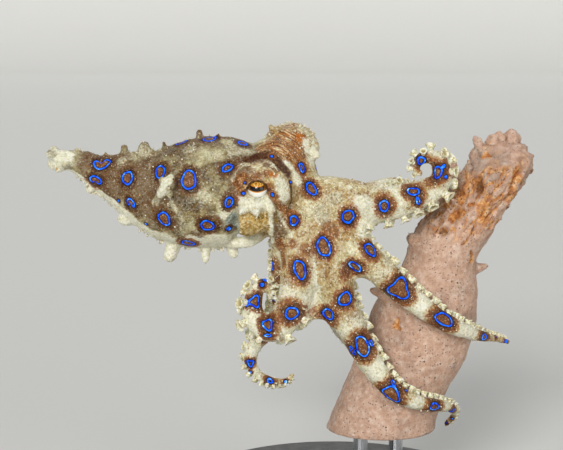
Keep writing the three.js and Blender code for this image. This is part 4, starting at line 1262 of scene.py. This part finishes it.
for name, way in WAYS.items():
    for share in np.arange(0.04, 0.95, 0.9 * MM / way.length):
        degrees = sucker_way(name, share) + random.choice([-1, 1]) * random.uniform(45, 85)
        add_spike(arm_side(name, share, degrees), random.uniform(0.2, 0.52))
    for share in np.arange(0.1, 0.9, 1.5 * MM / way.length):
        degrees = sucker_way(name, share) + 180 + random.uniform(-55, 55)
        add_spike(arm_side(name, share, degrees), random.uniform(0.12, 0.3))
for x in np.arange(-52, -19, 0.7):
    add_spike(mantle_at(x, -92 + random.uniform(-16, 16)), random.uniform(0.25, 0.62))
    on_back = mantle_at(x, 88 + random.uniform(-22, 22))
    add_spike(on_back, random.uniform(0.15, 0.36) if random.random() < 0.6 else 0.1)
fringed = WAYS["right_4"]
for share in np.arange(0.06, 0.5, 0.028):  # the fringe down the left edge of the web
    add_spike(fringed.at(share) + fringed.side(share, -100) * 2.2 * MM, random.uniform(0.4, 0.65))
for turn in range(70):
    outward = Vector((random.normal(), random.normal() * 0.7, abs(random.normal()) + 0.3)).normalized()
    add_spike((BULBS["left"] + outward * 5.4) * MM, random.uniform(0.2, 0.42))
spike_form = template_from(spike, "spike form")
spikes = scatter("octopus_spikes", spike_form, spike_places, skin_finish)
keep(spikes.data, "ring", [RING_FAR] * len(spikes.data.vertices))
keep(spikes.data, "cream", [0.55] * len(spikes.data.vertices))

# %% [markdown]
# The eye is a glossy ball. Seen from outside, a gold iris lies over a white lower half, with a
# black slit of a pupil that bends up at its ends. Each ball carries two numbers per point, its
# place across and up as seen along its gaze, and the finish draws the slit from them.

# %% Eyes
def eye_ball(name, centre, gaze):
    bm = bmesh.new()
    bmesh.ops.create_uvsphere(bm, u_segments=64, v_segments=48, radius=EYE_RADIUS)
    level, up = eye_axes(gaze)
    for vert in bm.verts:
        vert.co = level * vert.co.x + up * vert.co.y + gaze * vert.co.z
    seen = [(vert.co.dot(level), vert.co.dot(up)) for vert in bm.verts]
    for vert in bm.verts:
        vert.co = (vert.co + centre) * MM
    bmesh.ops.recalc_face_normals(bm, faces=bm.faces)
    piece = new_piece(name, bm)
    for axis, places in zip(("eye_across", "eye_up"), zip(*seen)):
        keep(piece.data, axis, places)
    piece.data.shade_smooth()
    return piece


def octopus_eye(name):
    """A wet eye: gold iris, black slit pupil, white below, under a clear glossy cornea."""
    material, tree, shader, known = start_material(name, ["eye_across", "eye_up"])
    add_rows(tree, known, [("streaks", "mm", 3.2, 4.0)], **NOISE)
    add_rows(tree, known, [("iris", "streaks", [(0.36, "#8A4E12"), (0.46, "#C88A28"), (0.56, "#E2B04A"),
                                                (0.66, "#F4DE9A")])], **RAMP)
    add_rows(tree, known, [  # the slit: how far outside it a point is, in mm
        ("square", "POWER", "eye_across", 2.0), ("wide", "ABSOLUTE", "eye_across"),
        ("bent", "MULTIPLY_ADD", "square", -0.2, "eye_up"), ("bent", "ADD", "bent", 0.02),
        ("high", "ABSOLUTE", "bent"), ("high", "SUBTRACT", "high", 0.44),
        ("ends", "SUBTRACT", "wide", 1.38), ("slit", "MAXIMUM", "high", "ends"),
    ], **MATHS)
    add_rows(tree, known, [
        ("rim", "slit", 0.3, 0.1, 0.0, 1.0), ("aside", "wide", 1.0, 1.5, 0.0, 0.85),
        ("low", "bent", -0.6, -0.68, 0.0, 1.0), ("pupil", "slit", 0.05, -0.04, 0.0, 1.0)], **STEP)
    add_rows(tree, known, [
        ("iris", "rim", "iris", "#E2901E"), ("iris", "aside", "iris", "#6A3A12"),
        ("iris", "low", "iris", "#F4F3EA"), ("iris", "pupil", "iris", "#05070A")], **MIX)
    set_inputs(tree, shader, {"Base Color": known["iris"], "Roughness": 0.4, "Specular IOR Level": 0.15,
                              "Coat Weight": 0.8, "Coat Roughness": 0.03})
    return material


eye_finish = octopus_eye("glossy octopus eye")
for side, (centre, gaze) in EYES.items():
    eye = eye_ball(f"octopus_eye_{side}", centre, gaze)
    dress(eye, eye_finish)
    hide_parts(f"eye_{side}")
    print("eye", side, "at, in mm:", [round(c, 1) for c in centre])

# %% [markdown]
# The perch is a short cut length of a branch sponge. It is lofted from level ovals, with spikes and
# lobes at its torn top, remeshed into one body, and then roughened: swells a few millimetres wide,
# a fine grain, and hollows where the surface is torn away.

# %% Sponge
SPONGE_DEPTH = 0.92  # how deep the branch is, as a share of its width
SPONGE_VOXEL = 0.4 * MM
SPONGE = [
    (9.4, 6, 17.5, 11.6), (10.4, 6, 21, 11.3), (12.2, 6, 25.6, 11), (14.6, 6, 30.5, 11.4),
    (16.6, 6, 36, 11.8), (18.2, 5.6, 42, 11.2), (19.6, 5.2, 47.5, 9.8), (21.4, 5.2, 53.2, 7.6),
    (23.8, 5.4, 59, 8), (27.4, 6, 64.5, 7.4), (30.9, 6, 69, 7.1), (33.4, 6, 73, 6.7), (34, 6, 76, 6),
    (34.2, 6, 77.6, 4.4),
]
SPONGE_HORNS = [
    ((10.5, 1, 46.6), (6.4, 0, 48.6), 2, 0.4), ((16.5, 1.6, 50.6), (11.6, 0.6, 52.6), 1.8, 0.4),
    ((27, 6, 51.4), (31.8, 5.4, 52.6), 2.4, 0.5), ((24.4, 2, 64), (22.3, -0.6, 68.6), 2.2, 0.5),
    ((27.2, 3, 66), (26.7, 2, 74.8), 3.4, 0.55), ((30.6, 5, 73), (28.3, 4.6, 79.2), 3.2, 1.0),
    ((33.2, 5.2, 74), (32.6, 5, 80.6), 2.8, 1.7), ((35.6, 6, 74), (36.2, 6, 80.4), 2.8, 1.7),
    ((33, 8, 73), (33.4, 8.8, 77.6), 2.6, 1.5), ((36.4, 6, 71.4), (38.3, 6, 77.4), 2.8, 1.8),
    ((24.6, 10, 68), (22.9, 12, 75.6), 2.6, 1.6), ((16.8, 4, 57.6), (14.6, 3, 59.2), 2.4, 1.0),
    ((21.4, 4, 58), (19.2, 3.2, 62), 4.4, 2.8),
]
branch_rows = smooth(SPONGE, 6)
CUT = SPONGE[0][2]
branch = bmesh.new()
loft(branch, [oval(Vector((x, y, z)) * MM, r * MM, r * SPONGE_DEPTH * MM) for x, y, z, r in branch_rows], 48)
for row in SPONGE_HORNS:
    papilla(branch, *row)
sponge = new_piece("sponge_perch", branch)
one_body(sponge, SPONGE_VOXEL)
print("sponge points:", len(sponge.data.vertices))

# %% [markdown]
# The upper part has been grazed. Its skin is torn open there in ragged pits and long scars, orange
# inside, with stringy ridges of fibre between them and round knobs at the top. Low down the skin is
# whole and only gently lumpy. The numbers that move the surface are kept on it for the finish.

# %% Sponge surface
TEARS = [  # x, z, half length and half width, its slope in degrees, and depth in mm, on the right side
    (24, 63.9, 2.8, 1.3, 52, 0.9), (20.4, 61.1, 1.2, 0.8, 45, 1.5), (28.6, 70, 3.0, 0.7, 82, 1.6),
    (36.2, 71.2, 4.6, 1.3, 66, 0.35), (24.9, 68.2, 2.2, 1.1, 62, 0.7), (27.8, 65.7, 1.8, 1.0, 35, 0.7),
    (29.6, 64, 1.0, 0.7, 20, 0.6), (27, 60, 1.9, 0.6, 50, 0.3), (33.6, 66.8, 2.4, 0.7, 50, 0.4),
    (31.6, 61.6, 1.8, 0.5, 60, 0.4), (28, 55.6, 1.6, 0.7, 70, 0.6), (30.4, 76, 0.7, 0.5, 40, 0.8),
    (33.4, 73.6, 1.6, 0.5, 65, 0.5), (11.8, 41.6, 1.0, 1.0, 0, 0.9), (22.4, 66, 1.2, 0.6, 70, 0.6),
]
LEFT_TEARS = [
    (33, 72, 3.6, 1.4, 60, 0.9), (24, 60, 2.6, 1.0, 50, 0.8), (28, 66.4, 2.0, 1.0, 40, 0.9),
    (14, 36, 1.2, 1.0, 0, 0.4),
]
UP_BRANCH, ACROSS_BRANCH = Vector((0.5, 0, 0.866)), Vector((0.866, 0, -0.5))
SHADED_HOLLOW = Vector((30.2, 0.5, 74.4))  # the middle of the hollow under the top knobs, greyed as painted shade
UPPER, TOP = (56, 64), (70, 76)  # mm up, where the grazed part and the knobs begin and are full


def on_branch(x, z, side):
    """The point of the branch's right (-1) or left (1) side at x and z, in mm."""
    middle_x, middle_y, radius = (np.interp(z, branch_rows[:, 2], branch_rows[:, k]) for k in (0, 1, 3))
    out = math.sqrt(max(1 - ((x - middle_x) / radius) ** 2, 0.02))
    return Vector((x, middle_y + side * radius * SPONGE_DEPTH * out, z))


tears = [(on_branch(x, z, side), half_long, half_wide, math.radians(slope), deep)
         for side, rows in ((-1, TEARS), (1, LEFT_TEARS)) for x, z, half_long, half_wide, slope, deep in rows]


def step(value, low, high):
    share = min(max((value - low) / (high - low), 0), 1)
    return share * share * (3 - 2 * share)


def billow(p):
    """Round knobs with creases between them."""
    return 0.6 - 2 * abs(noise.noise(p))


def torn_at(p):
    """How torn the sponge is at a point in mm, and how deep the tear is there."""
    ragged = 0.45 * noise.noise(p / 1.6) + 0.3 * noise.noise(p / 0.7)
    drift = Vector([noise.noise(p / 1.8 + Vector(shift)) for shift in ((0, 0, 0), (7, 0, 0), (0, 7, 0))])
    torn, deep = 0.0, 0.0
    for place, half_long, half_wide, slope, depth in tears:
        away = p + 1.6 * drift - place
        if away.length < half_long + 2.5:
            along = away.x * math.cos(slope) + away.z * math.sin(slope)
            aside = away.z * math.cos(slope) - away.x * math.sin(slope)
            off = math.hypot(along / half_long, aside / half_wide, away.y / 3)
            inside = step(1.25 - off + ragged, 0, 0.8)
            torn = max(torn, inside * min(depth + 0.5, 1))
            deep = max(deep, inside * depth - 0.8 * inside * (1 - inside))
    return torn, deep


def sponge_surface(p):
    """At a point in mm: how far it stands out, how torn it is, how deep (with the creases between the knobs
    and a little over the whole top added, which the finish darkens as painted shade), and how much painted
    shade the hollow under the knobs takes.
    """
    upper = step(p.z + 2 * noise.noise(p / 4), *UPPER)
    top = step(p.z, *TOP)
    fibre = Vector((p.dot(ACROSS_BRANCH), p.y, p.dot(UP_BRANCH) / 3.5))
    torn, deep = torn_at(p)
    scars = step(0.16 - abs(noise.noise(fibre / 2.3 + Vector((5, 0, 0)))), 0, 0.16) * upper * (1 - top)
    strings = 0.6 * noise.noise(fibre / 0.9) + 0.4 * noise.noise(fibre / 0.5)
    stands = 0.4 * noise.noise(p / 5.5) + 0.14 * noise.noise(p / 1.9) + 0.07 * noise.noise(p / 0.9)
    stands += upper * (1 - top) * (0.7 * billow(fibre / 2.0) + 0.5 * strings + 0.25 * noise.noise(p / 0.8))
    stands += top * (1.1 * billow(p / 2.4) + 0.35 * noise.noise(p / 0.9)) - deep - 0.7 * scars
    rubbed = noise.noise(p / 4 + Vector((0, 3, 0))) + 0.9 * strings
    grazed = upper * step(rubbed, -0.05, 0.3) * (1 - 0.5 * top)
    torn = max(torn, 0.9 * scars, 0.7 * grazed)
    # painted shade: grey is laid in the hollow under the top knobs
    bloom = step(1.35 - (p - SHADED_HOLLOW).length / 4.4 + 0.35 * noise.noise(p / 1.8), 0, 0.7) * (1 - 0.6 * torn)
    # the creases between the knobs and the whole top count as deeper, so that the finish darkens them
    return stands, torn, deep + 0.6 * scars + max(-0.9 * top * billow(p / 2.4), 0) + 0.25 * top, bloom


bm = bmesh.new()
bm.from_mesh(sponge.data)
for turn in range(2):  # the cut end stays sharp
    melt(bm, [vert for vert in bm.verts if vert.co.z > (CUT + 0.6) * MM], 1)
bm.normal_update()
sponge_tones = {"torn": [], "deep": [], "bloom": []}
for vert in bm.verts:
    stands, *tone_here = sponge_surface(vert.co / MM)
    vert.co += vert.normal * stands * step(vert.co.z / MM, CUT + 0.2, CUT + 1.8) * MM
    for kept, value in zip(sponge_tones.values(), tone_here):
        kept.append(value)
bm.to_mesh(sponge.data)
bm.free()
for tone, kept in sponge_tones.items():
    keep(sponge.data, tone, kept)
sponge.data.shade_smooth()
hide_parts("perch_sponge")
print("sponge triangles:", triangles(sponge))

# %% [markdown]
# Living sponge has a thin pinkish skin, pricked with pores about a quarter of a millimetre wide,
# which are painted dark as the shade inside them. Where it is torn the orange inside shows. Painted
# shade also greys the hollow under the top knobs in mauve, and darkens the creases and deep pits.

# %% Sponge finish: living sponge
def living_sponge(name):
    """Dull pink flesh and orange tears, with painted shade: dark pores and pits, and mauve-grey in the
    hollows.
    """
    material, tree, shader, known = start_material(name, ["torn", "deep", "bloom"])
    add_rows(tree, known, [("clouds", "mm", 0.11, 6.0, 0.62), ("blush", "mm", 0.8, 6.0, 0.72),
                           ("grain", "mm", 4.0, 2.0)], **NOISE)
    add_rows(tree, known, [
        ("pink", "clouds", [(0.34, "#927C6C"), (0.43, "#AE917E"), (0.52, "#C9A68E"), (0.6, "#D4B29A"),
                            (0.7, "#E4CDBA")]),
        ("warm", "blush", [(0.34, "#9C7054"), (0.44, "#C0947A"), (0.54, "#D6B49E"), (0.65, "#F0DECE")]),
        ("orange", "blush", [(0.36, "#74400C"), (0.44, "#B4661C"), (0.52, "#D08A38"), (0.6, "#E0B078"),
                             (0.7, "#ECD6BC")]),
    ], **RAMP)
    # the pores are holes, and they are painted dark below as the shade inside them
    for size, scale in (("big", 0.9), ("small", 1.9)):  # pores about 0.4 and 0.25 mm wide
        cells = add_node(tree, "ShaderNodeTexVoronoi", {"Vector": known["mm"], "Scale": scale})
        lot = add_node(tree, "ShaderNodeSeparateColor", {"Color": (cells, "Color")})
        known.update({f"{size} away": (cells, "Distance"), f"{size} lot": (lot, "Red")})
    add_rows(tree, known, [("ragged", "MULTIPLY_ADD", "blush", 1.5, -0.8),
                           ("ragged", "ADD", "ragged", "torn")], **MATHS)
    add_rows(tree, known, [
        # shade and grey are painted shade: darker where deep, and grey in the hollow under the knobs
        ("shade", "deep", 0.1, 0.9, 0.5), ("grey", "bloom", 0.0, 1.0, 0.7),
        ("open", "ragged", 0.15, 0.7, 0.85), ("pit", "deep", 0.9, 1.5, 0.75),
        ("big", "big away", 0.22, 0.12, 0.85), ("some big", "big lot", 0.72, 0.74, 1.0),
        ("small", "small away", 0.34, 0.18, 0.7), ("some small", "small lot", 0.45, 0.47, 1.0),
        ("patches", "blush", 0.4, 0.6, 1.0),
    ], **SOFT_STEP)
    add_rows(tree, known, [
        ("big", "MULTIPLY", "big", "some big"), ("small", "MULTIPLY", "small", "some small"),
        ("pore", "MAXIMUM", "big", "small"), ("pore", "MULTIPLY", "pore", "patches"),
        ("height", "MULTIPLY_ADD", "pore", -1.2, "blush"), ("height", "MULTIPLY_ADD", "grain", 0.5, "height"),
    ], **MATHS)
    add_rows(tree, known, [
        # painted shade: the shade, grey, pit and pore mixes darken the hollows, the deepest tears and the
        # pores
        ("flesh", 0.45, "pink", "warm"), ("flesh", "shade", "flesh", "#9A7C6E"),
        ("mauve", 0.3, "#A09082", "warm"), ("flesh", "grey", "flesh", "mauve"),
        ("flesh", "open", "flesh", "orange"),
        ("flesh", "pit", "flesh", "#5A3414"), ("flesh", "pore", "flesh", "#4E3226"),
    ], **MIX)
    bump = add_node(tree, "ShaderNodeBump",
                    {"Strength": 0.9, "Distance": 0.3 * MM, "Height": known["height"]})
    set_inputs(tree, shader, {
        "Base Color": known["flesh"], "Normal": bump, "Roughness": 0.6, "Specular IOR Level": 0.35,
        "Subsurface Weight": 0.06, "Subsurface Radius": (1.0, 0.5, 0.3), "Subsurface Scale": 0.7 * MM})
    return material


sponge_finish = living_sponge("living sponge")
dress(sponge, sponge_finish)
print("nodes in the sponge's finish:", len(sponge_finish.node_tree.nodes))

# %% [markdown]
# Torn sponge ends in loose flaps and threads. They are one small pointed flap of a few dozen faces,
# scattered along the edges of the tears and leaning up the branch, the way the fibres run.

# %% Shreds of torn sponge
SHREDS = 330
FRAYED = (58, 73)  # mm up
flap = bmesh.new()
FLAP = [(-0.25, 0.4, 0), (0.3, 0.34, 0.02), (0.7, 0.2, 0.1), (1.05, 0.04, 0.28)]  # height, half width, bend
loft(flap, [oval((0, bend, height), half, 0.3 * half + 0.03) for height, half, bend in FLAP], 6)
bmesh.ops.recalc_face_normals(flap, faces=flap.faces)
sponge_points, sponge_normals = mesh_array(sponge.data) / MM, mesh_array(sponge.data, "normal")
edge_of_tear = np.flatnonzero((np.abs(np.array(sponge_tones["torn"]) - 0.5) < 0.3)
                              & (sponge_points[:, 2] > FRAYED[0]) & (sponge_points[:, 2] < FRAYED[1]))
shred_places = []
for i in random.choice(edge_of_tear, SHREDS, replace=False):
    lean = Vector(sponge_normals[i]) * 0.28 + UP_BRANCH * random.uniform(0.6, 1.1)
    lean = (lean + Vector(random.normal(0, 0.25, 3))).normalized()
    shred_places.append((Vector(sponge_points[i]) * MM, lean, random.uniform(0.4, 1.2), random.random()))
shreds = scatter("sponge_shreds", template_from(flap, "flap form"), shred_places, sponge_finish)
tints = np.empty(len(shreds.data.vertices), np.float32)
shreds.data.attributes["tint"].data.foreach_get("value", tints)
keep(shreds.data, "torn", 0.8 * tints)

# %% [markdown]
# The stand is plain: a disc of black acrylic, turned and then satined, and two drawn steel rods.
# The disc is a fresh loft with a finer edge than its solid, and the rods keep their solids.

# %% Stand
BASE_RADIUS, BASE_THICK, BASE_EDGE = 32, 7, 0.8
disc = bmesh.new()
edge_profile = [(0, BASE_RADIUS - 0.3), (0.3, BASE_RADIUS)]
edge_profile += [(BASE_THICK - BASE_EDGE * (1 - math.sin(a)), BASE_RADIUS - BASE_EDGE * (1 - math.cos(a)))
                 for a in [math.radians(d) for d in (0, 30, 60, 90)]]
loft(disc, [oval((0, 0, z * MM), r * MM, r * MM) for z, r in edge_profile], 128)
bmesh.ops.recalc_face_normals(disc, faces=disc.faces)
base_piece = new_piece("display_base", disc)
base_piece.data.shade_smooth()
base_piece.data.set_sharp_from_angle(angle=math.radians(35))
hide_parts("stand_base")


def satin_acrylic(name):
    """Cast black acrylic rubbed to a satin: deep black with a soft, slightly uneven sheen."""
    material, tree, shader, known = start_material(name)
    add_rows(tree, known, [("rubbed", "mm", 0.5, 6.0, 0.7)], **NOISE)
    add_rows(tree, known, [("gloss", "rubbed", 0.3, 0.7, 0.3, 0.42)], **STEP)
    add_rows(tree, known, [("black", "rubbed", "#141416", "#1E1F22")], **MIX)
    set_inputs(tree, shader, {"Base Color": known["black"], "Roughness": known["gloss"], "IOR": 1.49})
    return material


def drawn_steel(name):
    """Drawn stainless rod: bright metal with fine marks along its length."""
    material, tree, shader, known = start_material(name)
    stretched = add_node(tree, "ShaderNodeMapping", {"Vector": known["mm"], "Scale": (6.0, 6.0, 0.25)})
    known["stretched"] = (stretched, 0)
    add_rows(tree, known, [("marks", "stretched", 1.0, 4.0)], **NOISE)
    add_rows(tree, known, [("gloss", "marks", 0.3, 0.7, 0.22, 0.4)], **STEP)
    set_inputs(tree, shader, {"Base Color": "#C4C6C8", "Roughness": known["gloss"], "Metallic": 1.0})
    return material


dress(base_piece, satin_acrylic("satin black acrylic"))
steel = drawn_steel("drawn stainless steel")
for name in ("stand_rod_front", "stand_rod_back"):
    dress(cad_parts[name], steel)
print("base, in mm:", BASE_RADIUS * 2, "across and", BASE_THICK, "thick")

# %% [markdown]
# A sheet of pale paper lies under the stand and curves up far behind it, as in a photographer's
# studio, so that no horizon shows. The sheet is one edge, extruded along the floor, spun up a
# quarter turn and extruded again.

# %% Floor
SWEEP_FAR, SWEEP_RADIUS, SWEEP_HALF, SWEEP_UP = 2.4, 0.45, 14.0, 0.2  # metres


def only(kind, parts):
    """The points, or the edges, among the parts that an operator made."""
    return [part for part in parts if isinstance(part, kind)]


POINT, EDGE = bmesh.types.BMVert, bmesh.types.BMEdge
bm = bmesh.new()
ends = [bmesh.ops.create_vert(bm, co=(x, -SWEEP_HALF, 0))["vert"][0] for x in (-SWEEP_HALF, SWEEP_HALF)]
grown = bmesh.ops.extrude_edge_only(bm, edges=[bm.edges.new(ends)])["geom"]
bmesh.ops.translate(bm, vec=(0, SWEEP_HALF + SWEEP_FAR, 0), verts=only(POINT, grown))
grown = bmesh.ops.spin(bm, geom=only(EDGE, grown), cent=(0, SWEEP_FAR, SWEEP_RADIUS), axis=(1, 0, 0),
                       angle=math.pi / 2, steps=24)["geom_last"]
grown = bmesh.ops.extrude_edge_only(bm, edges=only(EDGE, grown))["geom"]
bmesh.ops.translate(bm, vec=(0, 0, SWEEP_UP), verts=only(POINT, grown))
mesh = bpy.data.meshes.new("floor")
bm.to_mesh(mesh)
bm.free()
floor = put("floor", mesh)
floor.data.shade_smooth()
paper, tree, shader, known = start_material("pale paper floor")
set_inputs(tree, shader, {"Base Color": "#D6D5D0", "Roughness": 0.9})
dress(floor, paper)
print("floor points:", len(mesh.vertices))

# %% [markdown]
# The light is soft and even: three wide lights far off, and a pale surround. The strongest comes
# over the left shoulder, a weaker one fills from the right, and one from above and behind draws
# the outline. Far lights keep the whole floor equally bright.

# %% Light
bpy.context.scene.view_settings.view_transform = "Standard"  # the colours show as they are named
world = bpy.data.worlds.new("studio")
bpy.context.scene.world = world
world.use_nodes = True
world.node_tree.nodes.clear()
surround = add_node(world.node_tree, "ShaderNodeBackground", {"Color": "#E8ECF0", "Strength": 0.28})
add_node(world.node_tree, "ShaderNodeOutputWorld", {"Surface": surround})


def far_light(name, comes_from, share, degrees):
    """A wide far light. share is how bright it makes a white surface that faces it."""
    light = bpy.data.lights.new(name, "SUN")
    light.energy = share * math.pi
    light.angle = math.radians(degrees)
    put(name, light).rotation_euler = Vector(comes_from).to_track_quat("Z", "Y").to_euler()


far_light("key", (-0.28, -0.88, 0.42), 0.7, 20)
far_light("fill", (0.7, -0.75, 0.1), 0.28, 40)
far_light("low fill", (-0.2, -0.7, -0.7), 0.4, 60)
far_light("top", (0.15, 0.55, 1.0), 0.3, 30)
